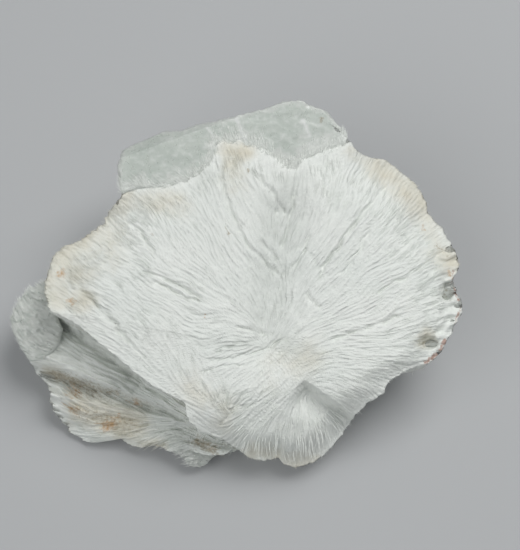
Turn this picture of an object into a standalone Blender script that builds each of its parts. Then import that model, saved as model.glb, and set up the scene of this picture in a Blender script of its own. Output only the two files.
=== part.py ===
"""Laumontite with fluorapophyllite, a mineral specimen that lies with its broken face up.

The white laumontite is two sprays of fibres grown into one mass. The upper spray is the broad
broken face, and the lower spray is the shelf below its lower left edge. Three pieces of glassy
fluorapophyllite sit in it: a slab behind, a corner at the left and a foot under the front edge.

Each piece is laid out in millimetres in the frame of the broken face: a runs to the right, b runs
up the face and c stands out of it, from the point where the fibres of the upper spray meet. All
outlines are as the eye sees them from EYE_HEIGHT above EYE_OVER, so a point below the face is
drawn out a little further from there. The face then leans back by FACE_TILT, and the specimen
rests on its flat base at z = 0.
"""

import math
from dataclasses import dataclass

import bmesh
import bpy
import numpy as np
from mathutils import Vector

MM = 0.001
FACE_TILT = math.radians(20)
SEAT = (7.02, -14.35, 22.6)
EYE_OVER, EYE_HEIGHT = (-1.4, 14.6), 305.6
GAP = 0.3

# The upper spray: its rim, anticlockwise from the right, as a and b.
UPPER_RIM = (
    (37.4, 4.2), (39.0, 7.2), (38.8, 9.4), (37.7, 11.4), (37.5, 14.2), (38.5, 17.0), (37.4, 19.4),
    (36.3, 21.6), (34.8, 24.2), (32.9, 26.0), (31.4, 30.0), (29.3, 33.2), (26.3, 35.6), (23.6, 37.5),
    (21.0, 38.0), (19.0, 38.8), (16.4, 41.4), (14.2, 43.8), (10.2, 46.2), (6.6, 47.6), (2.6, 46.8),
    (-5.4, 44.8), (-15.4, 41.8), (-22.8, 40.6), (-26.4, 38.2), (-27.4, 34.6), (-28.8, 30.6),
    (-30.6, 28.8), (-31.8, 27.0), (-33.2, 24.2), (-35.6, 23.0), (-38.2, 21.2), (-41.4, 19.8),
    (-43.2, 17.4), (-44.2, 13.8), (-44.4, 10.8), (-43.6, 7.8), (-41.0, 6.4), (-37.2, 4.0),
    (-32.6, 0.2), (-27.4, -4.2), (-22.6, -7.8), (-19.0, -9.6), (-16.6, -11.0), (-16.0, -14.0),
    (-13.6, -16.6), (-11.2, -17.6), (-8.0, -18.8), (-5.0, -21.0), (-3.0, -22.2), (-0.2, -22.4),
    (2.2, -22.2), (4.2, -23.6), (6.4, -23.8), (9.6, -22.8), (12.0, -20.8), (14.2, -18.4),
    (16.2, -15.4), (17.8, -13.4), (20.2, -11.2), (23.2, -9.2), (24.0, -7.2), (26.2, -5.6),
    (29.6, -3.8), (32.2, -3.2), (34.8, -0.8), (36.2, 1.6),
)  # fmt: skip
# How far its fibres bow to the left of their straight line, by the angle of their tip.
UPPER_BOW = (
    (6, -3.0), (24, -2.5), (44, -1.0), (58, 1.5), (68, 4.5), (77, 3.6), (87, 0.0), (97, -4.0),
    (110, -5.9), (120, -5.8), (133, -2.9), (147, 2.0), (158, 5.0), (163, 7.0), (166.5, 9.0),
    (170, 11.0), (174, 10.5), (180, 9.5), (189, 8.0), (199, 5.5), (207, 3.5), (216, 2.0),
    (225, 1.0), (246, 0.0), (285, 0.5), (323, 0.0), (339, -1.0), (348, -2.0),
)  # fmt: skip
# How far the face rounds over at the rim: sharp along the ledge, round at the right and left.
UPPER_ROLL = (
    (0, 2.4), (20, 3.0), (40, 5.5), (56, 4.0), (66, 1.0), (128, 1.0), (140, 3.5), (156, 4.5),
    (166, 2.0), (171, 0.4), (222, 0.4), (250, 2.2), (285, 4.4), (310, 4.0), (335, 2.0),
)  # fmt: skip
# The base's reach, as a share of the rim's, by the angle round the base.
UPPER_BASE = (
    (0, 0.72), (50, 0.8), (85, 0.96), (112, 0.9), (140, 0.76), (180, 0.66), (240, 0.58), (300, 0.62),
)  # fmt: skip
UPPER_BASE_CENTRE = (-2.0, 9.0)

# The lower spray: its rim, and the height of its surface there by angle round its own centre.
LOWER_CENTRE = (-12.4, -15.4)
LOWER_RIM = (
    (3.0, -13.0), (2.0, -4.0), (-5.0, 2.0), (-15.0, 4.5), (-26.0, 7.5), (-36.0, 10.0), (-43.4, 9.6),
    (-46.0, 6.0), (-47.6, 2.0), (-47.8, -1.2), (-46.8, -3.6), (-45.4, -5.4), (-43.8, -7.6),
    (-43.3, -10.8), (-41.8, -13.8), (-40.2, -15.8), (-38.8, -17.2), (-35.6, -18.8), (-33.0, -18.8),
    (-29.8, -18.0), (-27.4, -19.4), (-25.0, -19.8), (-22.4, -19.4), (-19.6, -20.4), (-16.0, -20.6),
    (-11.0, -21.4), (-6.0, -20.6), (-1.0, -17.6),
)  # fmt: skip
LOWER_HEIGHT = (
    (0, -11.0), (90, -12.0), (130, -9.6), (142, -7.6), (145.5, -10.4), (150, -8.8), (157, -8.0),
    (159.5, -10.8), (162, -13.2), (166, -13.2), (169, -10.8), (174, -12.0), (181, -15.0),
    (188, -15.8), (198, -13.8), (212, -11.4), (240, -10.4), (300, -10.8),
)  # fmt: skip
LOWER_CENTRE_HEIGHT, LOWER_REACH, LOWER_CURVE = -8.0, 33.0, 0.85
LOWER_BOW = ((0, 0.0), (140, -1.5), (165, -2.0), (190, -3.0), (210, -2.0), (260, 0.0))
LOWER_ROLL = ((0, 0.0), (140, 0.5), (170, 1.0), (200, 1.6), (240, 1.0), (300, 0.0))
LOWER_BASE = ((0, 0.5), (130, 0.62), (180, 0.84), (200, 0.88), (220, 0.72), (270, 0.5))
LOWER_BASE_CENTRE = (-18.0, -2.0)

# Relief of the broken face, in face coordinates.
SPINE = ((0.0, 0.0), (3.4, 26.0))
SPINE_DEPTH, SPINE_WIDTH = 1.7, 5.0
DISH_MIDDLE, DISH_RISE, DISH_REACH = (0.0, 8.0), 1.2, 26.0
FRONT_FALL, FRONT_START, FRONT_RUN, FRONT_SKEW = 6.6, 6.0, 19.0, 0.12
LEDGE_LEFT, LEDGE_RUN = -34.0, 26.0
NOTCH = ((8.2, -6.6), (17.4, -13.2))
NOTCH_DEPTH, NOTCH_LIP, NOTCH_FLOOR, NOTCH_RUN, NOTCH_END = 3.0, 1.4, 2.0, 6.5, 3.0
ROLL_START = 0.76
CRACKS = (  # from, to, depth, half width
    ((18.0, 3.0), (30.0, 7.6), 0.7, 0.7),
    ((22.0, 10.6), (31.2, 16.0), 0.9, 0.7),
    ((10.6, 13.2), (16.8, 24.0), 1.0, 0.8),
    ((16.8, 24.0), (23.2, 31.2), 1.0, 0.8),
    ((3.0, 23.6), (-3.4, 32.6), 0.9, 0.9),
    ((3.0, 23.6), (7.0, 34.6), 1.0, 0.9),
    ((0.0, 15.2), (-10.8, 33.2), 0.9, 1.1),
    ((-13.4, 10.0), (-25.4, 16.6), 1.0, 0.9),
    ((-25.4, 2.0), (-36.8, 12.6), 1.0, 1.0),
)
BUNDLES = ((10.0, 1.0), (5.2, 0.6))  # width at the rim and height of the fibre bundles
BUNDLE_TURNS = 1.6  # how often a bundle rises and falls along its fibres
STAGGER, STAGGER_WAVES = 0.05, 37  # unevenness of the fibres' steps, and its waves round the rim
# The sides: powers of the curves in and down to the base, and how much more the bundles stand out.
SIDE_IN, SIDE_DOWN, SIDE_BUNDLES = 1.15, 0.9, 1.7
# Planes that the sides broke along, each as a point and the direction that it faces.
SIDE_CHIPS = (
    ((31.4, 4.0, -14.0), (0.84, -0.12, -0.52)),
    ((23.0, 30.0, -16.0), (0.58, 0.72, -0.38)),
    ((-31.0, 21.0, -15.0), (-0.66, 0.62, -0.42)),
    ((11.0, -15.0, -17.5), (0.35, -0.66, -0.66)),
    ((-22.3, 25.5, -19.2), (-0.55, 0.58, -0.6)),
    ((14.5, 30.0, -22.9), (0.5, 0.6, -0.62)),
    ((-1.1, 33.7, -23.0), (-0.12, 0.84, -0.53)),
)

# The glassy pieces: outlines anticlockwise in the face, heights of the top and the bottom, how much
# the top falls for each mm to the right and up the face, and the planes that chips broke along, each
# as a point and the direction that it faces.
SLAB_RIM = (
    (16.3, 40.6), (16.0, 43.0), (13.8, 45.1), (12.1, 47.3), (8.1, 48.8), (7.1, 49.6), (3.4, 49.3),
    (-0.7, 47.8), (-5.8, 46.6), (-8.2, 46.0), (-10.5, 45.3), (-14.2, 44.8), (-16.6, 43.7),
    (-20.3, 43.5), (-24.6, 42.8), (-27.1, 41.0), (-28.8, 40.2), (-29.9, 36.5), (-29.9, 34.5),
    (-29.1, 30.6), (-25.1, 31.6), (-20.1, 31.6), (-15.8, 32.7), (-13.5, 34.4), (-10.9, 36.0),
    (-9.7, 38.4), (-9.3, 40.4), (-8.2, 40.7), (-4.2, 40.0), (-1.9, 39.2), (1.1, 37.3), (3.1, 35.7),
    (5.7, 34.8), (7.7, 37.0), (10.7, 38.4), (14.2, 39.4),
)  # fmt: skip
SLAB_TOP, SLAB_BOTTOM, SLAB_FALL = 0.3, -12.0, (0.0, 0.035)
SLAB_CHIPS = (
    ((-28.4, 41.0, -0.6), (-0.66, 0.62, 0.42)),
    ((-14.0, 45.2, -0.5), (-0.2, 0.88, 0.42)),
    ((2.0, 49.2, -0.5), (-0.3, 0.86, 0.4)),
    ((10.0, 48.6, -0.7), (0.6, 0.68, 0.42)),
    ((15.4, 44.2, -0.6), (0.84, 0.34, 0.42)),
    ((-29.9, 35.0, -0.6), (-0.88, -0.1, 0.46)),
    ((5.0, 49.0, -6.2), (0.34, 0.62, -0.71)),
    ((-8.0, 46.4, -8.0), (-0.28, 0.72, -0.64)),
    ((-22.0, 43.6, -5.4), (-0.42, 0.56, -0.71)),
    ((14.0, 44.0, -7.0), (0.8, 0.2, -0.56)),
)
CORNER_RIM = (
    (-43.4, 9.8), (-44.0, 13.8), (-46.2, 12.4), (-48.4, 11.2), (-50.0, 8.6), (-51.4, 5.8),
    (-50.6, 2.8), (-49.0, -0.2), (-47.4, -2.6), (-44.4, -2.2), (-41.8, 0.2), (-40.8, 3.6),
    (-42.0, 7.0),
)  # fmt: skip
CORNER_TOP, CORNER_BOTTOM, CORNER_FALL = -7.9, -17.6, (-0.2, -0.08)
CORNER_CHIPS = (
    ((-50.9, 4.4, -8.8), (-0.78, -0.2, 0.6)),
    ((-48.8, 10.6, -8.4), (-0.5, 0.6, 0.62)),
    ((-49.2, -0.6, -9.6), (-0.6, -0.55, 0.58)),
    ((-50.8, 5.0, -14.0), (-0.8, 0.1, -0.6)),
)
FOOT_RIM = (
    (-4.0, -17.0), (-9.0, -16.4), (-14.0, -16.0), (-19.0, -17.6), (-20.8, -20.4), (-18.0, -21.0),
    (-16.4, -22.2), (-15.4, -23.4), (-13.8, -23.9), (-12.0, -23.4), (-10.8, -21.8), (-8.2, -20.8),
    (-5.0, -19.8),
)  # fmt: skip
FOOT_TOP, FOOT_BOTTOM, FOOT_FALL = -9.8, -14.9, (0.05, -0.25)
FOOT_CHIPS = (
    ((-13.6, -23.4, -11.6), (0.1, -0.65, 0.76)),
    ((-19.8, -20.2, -11.6), (-0.62, -0.3, 0.72)),
)
# How deep each ring of a glassy block's corners lies, as a share, and how far inside its outline.
BLOCK_RINGS = ((0.0, 0.5), (0.05, 0.0), (0.5, 0.2), (0.9, 0.3), (1.0, 1.4))
SEAT_LIFT = 6.0  # how far above the slab the laumontite is cleared away
CHIP_SIZE = 80.0
PITS = (  # centre, half sizes: the hollows in the right rim
    ((36.0, 11.2, -3.0), (1.6, 2.2, 2.4)),
    ((32.2, 1.0, -2.4), (2.2, 1.6, 2.2)),
)

MATERIALS = {  # colour, roughness, transmission
    "laumontite": ((0.80, 0.82, 0.79), 0.75, 0.0),
    "fluorapophyllite": ((0.66, 0.73, 0.67), 0.30, 0.5),
}


def fade(x):
    """0 below 0 and 1 above 1, with a smooth rise between."""
    x = np.clip(x, 0.0, 1.0)
    return x * x * (3 - 2 * x)


def around(table, angle):
    """The value of an (angle, value) table at these angles in degrees, round the full circle."""
    angles, values = zip(*table)
    return np.interp(angle, angles, values, period=360)


def chance(x, y, seed):
    """A number from 0 to 1 that is the same each time for the same whole x and y."""
    mixed = np.sin(x * 127.1 + y * 311.7 + seed * 74.7) * 43758.5453
    return mixed - np.floor(mixed)


def grain(x, y, seed, period):
    """Smooth noise from about -1 to 1, which repeats after period whole steps of x."""
    x0, y0 = np.floor(x), np.floor(y)
    total = np.zeros(np.broadcast(x, y).shape)
    for i in (x0, x0 + 1):
        for j in (y0, y0 + 1):
            turn = chance(i % period, j, seed) * 2 * math.pi
            slope = np.cos(turn) * (x - i) + np.sin(turn) * (y - j)
            total += slope * fade(1 - np.abs(x - i)) * fade(1 - np.abs(y - j))
    return total * 1.5


def stand(a, b, c):
    """Face coordinates in mm as x, y, z of the resting specimen, still in mm."""
    a = EYE_OVER[0] + (a - EYE_OVER[0]) * (1 - c / EYE_HEIGHT)
    b = EYE_OVER[1] + (b - EYE_OVER[1]) * (1 - c / EYE_HEIGHT)
    y = b * math.cos(FACE_TILT) - c * math.sin(FACE_TILT)
    z = b * math.sin(FACE_TILT) + c * math.cos(FACE_TILT)
    return np.stack(np.broadcast_arrays(a + SEAT[0], y + SEAT[1], z + SEAT[2]), axis=-1)


def facing(a, b, c):
    """A direction in the frame of the face as a direction of the resting specimen."""
    y = b * math.cos(FACE_TILT) - c * math.sin(FACE_TILT)
    z = b * math.sin(FACE_TILT) + c * math.cos(FACE_TILT)
    return (a, y, z)


def from_line(a, b, line):
    """Distance from a straight line between two points."""
    (a0, b0), (a1, b1) = line
    run = (a1 - a0) ** 2 + (b1 - b0) ** 2
    along = np.clip(((a - a0) * (a1 - a0) + (b - b0) * (b1 - b0)) / run, 0, 1)
    return np.hypot(a - a0 - along * (a1 - a0), b - b0 - along * (b1 - b0))


def closed_curve(points, count):
    """count points at equal steps along a smooth closed curve, and the curve's length."""
    p = np.array(points, float)
    before, after, next_one = np.roll(p, 1, 0), np.roll(p, -1, 0), np.roll(p, -2, 0)
    t = np.linspace(0, 1, 16, endpoint=False)[:, None, None]
    spread = 0.5 * (
        2 * p
        + (after - before) * t
        + (2 * before - 5 * p + 4 * after - next_one) * t**2
        + (3 * p - before - 3 * after + next_one) * t**3
    )
    fine = spread.transpose(1, 0, 2).reshape(-1, 2)
    fine = np.vstack([fine, fine[:1]])
    reach = np.concatenate([[0], np.cumsum(np.hypot(*np.diff(fine, axis=0).T))])
    at = np.linspace(0, reach[-1], count, endpoint=False)
    return np.interp(at, reach, fine[:, 0]), np.interp(at, reach, fine[:, 1]), reach[-1]


@dataclass(frozen=True)
class Spray:
    """Fibres that fan out from one centre to a ragged rim, on a body that narrows to its base."""

    centre: tuple
    rim: tuple
    bow: tuple
    roll: tuple
    base: tuple
    base_centre: tuple
    base_height: float
    height: callable
    columns: int
    seed: int

    def fibres(self, shares):
        """Where the fibres run: a, b for each share of their length, and the tips' angles."""
        rim_a, rim_b, length = closed_curve(self.rim, self.columns)
        run_a, run_b = rim_a - self.centre[0], rim_b - self.centre[1]
        angle = np.degrees(np.arctan2(run_b, run_a))
        bow = around(self.bow, angle) / np.hypot(run_a, run_b)
        s = self.stagger(shares)
        sway = 2 * s * (1 - s)
        a = self.centre[0] + run_a * s - run_b * bow * sway
        b = self.centre[1] + run_b * s + run_a * bow * sway
        return a, b, angle, length

    def stagger(self, shares):
        """The shares for each fibre, uneven so that the rings of corners don't show as circles."""
        s = np.array(shares)[:, None]
        place = np.arange(self.columns) / self.columns * STAGGER_WAVES
        uneven = grain(place, s * 9, self.seed + 5, STAGGER_WAVES)
        return s + uneven * STAGGER * fade((1 - s) / 0.12)

    def bundles(self, s, length, depth):
        """The ridges of the fibre bundles, which swell from the centre outwards."""
        place = np.arange(self.columns) / self.columns
        ridges = 0
        for order, (width, high) in enumerate(BUNDLES):
            period = round(length / width)
            wave = grain(place * period, s * BUNDLE_TURNS + depth, self.seed + order, period)
            ridges = ridges + (np.abs(wave) * 2 - 0.6) * high
        return ridges * s**1.3

    def rings(self, shares, levels):
        """Rings of corners from near the centre out to the rim, then down the side to the base."""
        a, b, angle, length = self.fibres(shares)
        s = self.stagger(shares)
        roll = around(self.roll, angle) * fade((s - ROLL_START) / (1 - ROLL_START))
        c = self.height(a, b) - roll + self.bundles(s, length, 0.0)
        face = stand(a, b, c)
        rim = face[-1]
        foot = np.array([self.base_centre[0] + SEAT[0], self.base_centre[1] + SEAT[1]])
        away = rim[:, :2] - foot
        reach = around(self.base, np.degrees(np.arctan2(away[:, 1], away[:, 0])))[:, None]
        base = foot + away * reach
        u = np.array(levels)[:, None]
        lumps = self.bundles(np.ones_like(u), length, u * 2.1) * SIDE_BUNDLES
        lumps = lumps * np.sin(u * math.pi) ** 0.7
        inward = u[..., None] ** SIDE_IN
        out = away / np.hypot(*away.T)[:, None]
        side_xy = rim[:, :2] + (base - rim[:, :2]) * inward + out * lumps[..., None]
        side_z = self.base_height + (rim[:, 2] - self.base_height) * (1 - u**SIDE_DOWN)
        side = np.concatenate([side_xy, side_z[..., None]], axis=-1)
        return np.concatenate([face, side])

    def middle(self):
        """The corner at the centre of the face, and the one at the middle of the base."""
        a, b = (np.array(x) for x in self.centre)
        foot = (self.base_centre[0] + SEAT[0], self.base_centre[1] + SEAT[1], self.base_height)
        return stand(a, b, self.height(a, b)), np.array(foot)


def face_height(a, b):
    """The broken face: a shallow valley up its spine, a notch and a fall to the front."""
    from_middle = np.hypot(a - DISH_MIDDLE[0], b - DISH_MIDDLE[1])
    c = DISH_RISE * fade(from_middle / DISH_REACH)
    c = c - SPINE_DEPTH * np.exp(-((from_line(a, b, SPINE) / SPINE_WIDTH) ** 2))
    front = fade((FRONT_SKEW * a - b - FRONT_START) / FRONT_RUN)
    c = c - FRONT_FALL * front * fade((a - LEDGE_LEFT) / LEDGE_RUN)
    (a0, b0), (a1, b1) = NOTCH
    size = math.hypot(a1 - a0, b1 - b0)
    below = ((a - a0) * (b1 - b0) - (b - b0) * (a1 - a0)) / size
    past = ((a - a0) * (a1 - a0) + (b - b0) * (b1 - b0)) / size
    notch = fade(past / NOTCH_END + 0.5) * fade(below / NOTCH_LIP)
    c = c - NOTCH_DEPTH * notch * (1 - fade((below - NOTCH_FLOOR) / NOTCH_RUN))
    for start, end, depth, half_width in CRACKS:
        c = c - depth * np.exp(-((from_line(a, b, (start, end)) / half_width) ** 2))
    return c


def shelf_height(a, b):
    """The shelf under the ledge: a fan whose height depends on the angle round its centre."""
    run_a, run_b = a - LOWER_CENTRE[0], b - LOWER_CENTRE[1]
    at_rim = around(LOWER_HEIGHT, np.degrees(np.arctan2(run_b, run_a)))
    share = np.clip(np.hypot(run_a, run_b) / LOWER_REACH, 0, 1.1) ** LOWER_CURVE
    return LOWER_CENTRE_HEIGHT + (at_rim - LOWER_CENTRE_HEIGHT) * share


UPPER = Spray(
    (0.0, 0.0), UPPER_RIM, UPPER_BOW, UPPER_ROLL, UPPER_BASE, UPPER_BASE_CENTRE, 0.0,
    face_height, 168, 3,
)  # fmt: skip
LOWER = Spray(
    LOWER_CENTRE, LOWER_RIM, LOWER_BOW, LOWER_ROLL, LOWER_BASE, LOWER_BASE_CENTRE, 0.4,
    shelf_height, 84, 11,
)  # fmt: skip


def material(name):
    """A plain finish with the mineral's colour, roughness and clearness."""
    colour, roughness, clear = MATERIALS[name]
    made = bpy.data.materials.new(name)
    made.use_nodes = True
    shader = made.node_tree.nodes["Principled BSDF"]
    shader.inputs["Base Color"].default_value = (*colour, 1.0)
    shader.inputs["Roughness"].default_value = roughness
    shader.inputs["Metallic"].default_value = 0.0
    shader.inputs["Transmission Weight"].default_value = clear
    return made


def skinned(name, rings, tips, finish):
    """An object whose skin joins rings of corners, closed by a point or, with no tips, by a face."""
    bm = bmesh.new()
    rows = [[bm.verts.new(Vector(p) * MM) for p in ring] for ring in rings]
    count = len(rows[0])
    for inner, outer in zip(rows, rows[1:]):
        for i in range(count):
            j = (i + 1) % count
            bm.faces.new((inner[i], inner[j], outer[j], outer[i]))
    if not tips:
        bm.faces.new(rows[0])
        bm.faces.new(rows[-1])
    for row, tip in zip((rows[0], rows[-1]), tips):
        end = bm.verts.new(Vector(tip) * MM)
        for i in range(count):
            bm.faces.new((row[i], row[(i + 1) % count], end))
    bmesh.ops.recalc_face_normals(bm, faces=bm.faces)
    mesh = bpy.data.meshes.new(name)
    bm.to_mesh(mesh)
    bm.free()
    mesh.materials.append(finish)
    made = bpy.data.objects.new(name, mesh)
    bpy.context.scene.collection.objects.link(made)
    return made


def spray_object(name, spray, shares, levels, finish):
    """A spray as a closed solid."""
    return skinned(name, spray.rings(shares, levels), spray.middle(), finish)


def block_object(name, rim, top, bottom, fall, finish):
    """A cleaved block: an outline in the face, with bevelled edges above and below."""
    p = np.array(rim)
    along = np.roll(p, -1, 0) - np.roll(p, 1, 0)
    inward = np.stack([-along[:, 1], along[:, 0]], axis=1) / np.hypot(*along.T)[:, None]
    middle = p.mean(0)
    rings = []
    for level, inset in BLOCK_RINGS:
        a, b = (p + inward * inset).T
        upper = top - fall[0] * (a - middle[0]) - fall[1] * (b - middle[1])
        rings.append(stand(a, b, upper + (bottom - upper) * level))
    return skinned(name, rings, (), finish)


def cutter_for(block, lift):
    """The space a block needs: its shape with a clearance, open above the face by lift."""
    made = block.copy()
    made.data = block.data.copy()
    made.name = block.name + "_seat"
    bpy.context.scene.collection.objects.link(made)
    up = Vector(facing(0, 0, 1))
    top_ring = len(made.data.vertices) // len(BLOCK_RINGS)
    for corner in made.data.vertices:
        raised = lift if corner.index < top_ring else 0.0
        corner.co += (corner.normal * GAP + up * raised) * MM
    return made


def chip_object(name, point, direction):
    """A cutter that takes off all that lies beyond a plane through point."""
    turn = Vector(facing(*direction)).to_track_quat("Z", "Y")
    bm = bmesh.new()
    bmesh.ops.create_cube(bm, size=CHIP_SIZE * MM)
    for corner in bm.verts:
        corner.co.z += CHIP_SIZE * MM / 2
        corner.co = turn @ corner.co + Vector(stand(*point)) * MM
    mesh = bpy.data.meshes.new(name)
    bm.to_mesh(mesh)
    bm.free()
    made = bpy.data.objects.new(name, mesh)
    bpy.context.scene.collection.objects.link(made)
    return made


def pit_object(name, centre, half_sizes):
    """A cutter: a rounded hollow, in the frame of the face."""
    bm = bmesh.new()
    bmesh.ops.create_icosphere(bm, subdivisions=2, radius=1.0)
    for corner in bm.verts:
        place = [m + h * p for m, h, p in zip(centre, half_sizes, corner.co)]
        corner.co = Vector(stand(*(np.array(x) for x in place))) * MM
    mesh = bpy.data.meshes.new(name)
    bm.to_mesh(mesh)
    bm.free()
    made = bpy.data.objects.new(name, mesh)
    bpy.context.scene.collection.objects.link(made)
    return made


def combine(obj, other, operation):
    """A live Boolean on obj; the other object becomes its hidden tool."""
    step = obj.modifiers.new(other.name, "BOOLEAN")
    step.object = other
    step.operation = operation
    step.solver = "EXACT"
    other.hide_render = True
    other.display_type = "WIRE"


def main():
    for old in list(bpy.data.objects):
        bpy.data.objects.remove(old)
    white = material("laumontite")
    glassy = material("fluorapophyllite")

    shares = (0.1, 0.22, 0.34, 0.46, 0.57, 0.67, 0.76, 0.84, 0.91, 0.96, 1.0)
    mass = spray_object("laumontite", UPPER, shares, (0.12, 0.3, 0.5, 0.72, 1.0), white)
    shelf = spray_object("lower_spray", LOWER, shares[::2], (0.25, 0.6, 1.0), white)
    combine(mass, shelf, "UNION")

    for name, rim, top, bottom, fall, chips in (
        ("slab", SLAB_RIM, SLAB_TOP, SLAB_BOTTOM, SLAB_FALL, SLAB_CHIPS),
        ("corner", CORNER_RIM, CORNER_TOP, CORNER_BOTTOM, CORNER_FALL, CORNER_CHIPS),
        ("foot", FOOT_RIM, FOOT_TOP, FOOT_BOTTOM, FOOT_FALL, FOOT_CHIPS),
    ):
        block = block_object("fluorapophyllite_" + name, rim, top, bottom, fall, glassy)
        combine(mass, cutter_for(block, SEAT_LIFT if name == "slab" else 0.0), "DIFFERENCE")
        for number, (point, direction) in enumerate(chips, 1):
            combine(block, chip_object(f"{name}_chip_{number}", point, direction), "DIFFERENCE")
    for number, (point, direction) in enumerate(SIDE_CHIPS, 1):
        combine(mass, chip_object(f"side_chip_{number}", point, direction), "DIFFERENCE")
    for number, pit in enumerate(PITS, 1):
        combine(mass, pit_object(f"rim_pit_{number}", *pit), "DIFFERENCE")


main()
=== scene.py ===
"""The finished look of the laumontite and fluorapophyllite specimen.

Lengths are in millimetres in the frame of the broken face, as in the part's own source: a runs to
the right, b up the face and c out of it, from the point where the fibres of the upper spray meet.
stand() turns them into the resting specimen's x, y, z, and the makers of meshes turn millimetres
into metres. Noises are named by their size in mm, their strength and their seed.
"""

import math

import bmesh
import bpy
import numpy as np
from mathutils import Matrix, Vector


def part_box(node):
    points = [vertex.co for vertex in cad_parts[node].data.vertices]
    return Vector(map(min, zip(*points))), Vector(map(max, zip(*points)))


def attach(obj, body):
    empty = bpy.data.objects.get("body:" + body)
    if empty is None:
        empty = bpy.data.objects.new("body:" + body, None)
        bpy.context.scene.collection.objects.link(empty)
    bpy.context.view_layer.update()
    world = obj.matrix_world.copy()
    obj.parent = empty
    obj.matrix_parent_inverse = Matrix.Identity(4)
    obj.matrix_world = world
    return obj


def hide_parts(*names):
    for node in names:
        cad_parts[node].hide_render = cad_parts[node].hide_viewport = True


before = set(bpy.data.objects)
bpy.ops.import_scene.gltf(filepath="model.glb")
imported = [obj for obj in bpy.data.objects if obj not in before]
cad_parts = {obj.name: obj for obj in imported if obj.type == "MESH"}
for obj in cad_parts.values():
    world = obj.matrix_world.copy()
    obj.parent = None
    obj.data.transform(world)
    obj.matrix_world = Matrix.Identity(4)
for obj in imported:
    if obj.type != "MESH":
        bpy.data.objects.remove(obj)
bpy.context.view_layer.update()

MM = 0.001
FACE_TILT = math.radians(20)
SEAT = (7.02, -14.35, 22.6)
EYE_OVER, EYE_HEIGHT = (-1.4, 14.6), 305.6
LENS, SENSOR = 100.0, 36.0

# The upper spray: its rim anticlockwise from the right, the roll of its rim, and the reach of its
# base as a share of the rim's, each by angle.
UPPER_RIM = (
    (37.4, 4.2), (39.0, 7.2), (38.8, 9.4), (37.7, 11.4), (37.5, 14.2), (38.5, 17.0), (37.4, 19.4),
    (36.3, 21.6), (34.8, 24.2), (32.9, 26.0), (31.4, 30.0), (29.3, 33.2), (26.3, 35.6), (23.6, 37.5),
    (21.0, 38.0), (19.0, 38.8), (16.4, 41.4), (14.2, 43.8), (10.2, 46.2), (6.6, 47.6), (2.6, 46.8),
    (-5.4, 44.8), (-15.4, 41.8), (-22.8, 40.6), (-26.4, 38.2), (-27.4, 34.6), (-28.8, 30.6),
    (-30.6, 28.8), (-31.8, 27.0), (-33.2, 24.2), (-35.6, 23.0), (-38.2, 21.2), (-41.4, 19.8),
    (-43.2, 17.4), (-44.2, 13.8), (-44.4, 10.8), (-43.6, 7.8), (-41.0, 6.4), (-37.2, 4.0),
    (-32.6, 0.2), (-27.4, -4.2), (-22.6, -7.8), (-19.0, -9.6), (-16.6, -11.0), (-16.0, -14.0),
    (-13.6, -16.6), (-11.2, -17.6), (-8.0, -18.8), (-5.0, -21.0), (-3.0, -22.2), (-0.2, -22.4),
    (2.2, -22.2), (4.2, -23.6), (6.4, -23.8), (9.6, -22.8), (12.0, -20.8), (14.2, -18.4),
    (16.2, -15.4), (17.8, -13.4), (20.2, -11.2), (23.2, -9.2), (24.0, -7.2), (26.2, -5.6),
    (29.6, -3.8), (32.2, -3.2), (34.8, -0.8), (36.2, 1.6),
)  # fmt: skip
UPPER_ROLL = (
    (0, 2.4), (20, 3.0), (40, 5.5), (56, 4.0), (66, 1.0), (128, 1.0), (140, 3.5), (156, 4.5),
    (166, 2.0), (171, 0.4), (222, 0.4), (250, 2.2), (285, 4.4), (310, 4.0), (335, 2.0),
)  # fmt: skip
UPPER_BASE = (
    (0, 0.72), (50, 0.8), (85, 0.96), (112, 0.9), (140, 0.76), (180, 0.66), (240, 0.58), (300, 0.62),
)  # fmt: skip
UPPER_BASE_CENTRE = (-2.0, 9.0)
# A spray's noise seed, its columns of points, the rag of its rim by angle, and how strong its relief
# and its single strands are.
UPPER_LOOK = (
    3, 960,
    ((0, 0.9), (60, 0.6), (135, 0.9), (150, 1.3), (172, 0.8), (200, 0.5), (260, 0.8), (330, 0.7)),
    1.0, 0.03,
)  # fmt: skip

# The lower spray, the shelf under the ledge.
LOWER_CENTRE = (-12.4, -15.4)
LOWER_RIM = (
    (3.0, -13.0), (2.0, -4.0), (-5.0, 2.0), (-15.0, 4.5), (-26.0, 7.5), (-36.0, 10.0), (-43.4, 9.6),
    (-46.0, 6.0), (-47.6, 2.0), (-47.8, -1.2), (-46.8, -3.6), (-45.4, -5.4), (-43.8, -7.6),
    (-43.3, -10.8), (-41.8, -13.8), (-40.2, -15.8), (-38.8, -17.2), (-35.6, -18.8), (-33.0, -18.8),
    (-29.8, -18.0), (-27.4, -19.4), (-25.0, -19.8), (-22.4, -19.4), (-19.6, -20.4), (-16.0, -20.6),
    (-11.0, -21.4), (-6.0, -20.6), (-1.0, -17.6),
)  # fmt: skip
LOWER_HEIGHT = (
    (0, -11.0), (90, -12.0), (130, -9.6), (142, -7.6), (145.5, -10.4), (150, -8.8), (157, -8.0),
    (159.5, -10.8), (162, -13.2), (166, -13.2), (169, -10.8), (174, -12.0), (181, -15.0),
    (188, -15.8), (198, -13.8), (212, -11.4), (240, -10.4), (300, -10.8),
)  # fmt: skip
LOWER_CENTRE_HEIGHT, LOWER_REACH, LOWER_CURVE = -8.0, 33.0, 0.85
LOWER_ROLL = ((0, 0.0), (140, 0.5), (170, 1.0), (200, 1.6), (240, 1.0), (300, 0.0))
LOWER_BASE = ((0, 0.5), (130, 0.62), (180, 0.84), (200, 0.88), (220, 0.72), (270, 0.5))
LOWER_BASE_CENTRE, LOWER_BASE_HEIGHT = (-18.0, -2.0), 0.4
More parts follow.
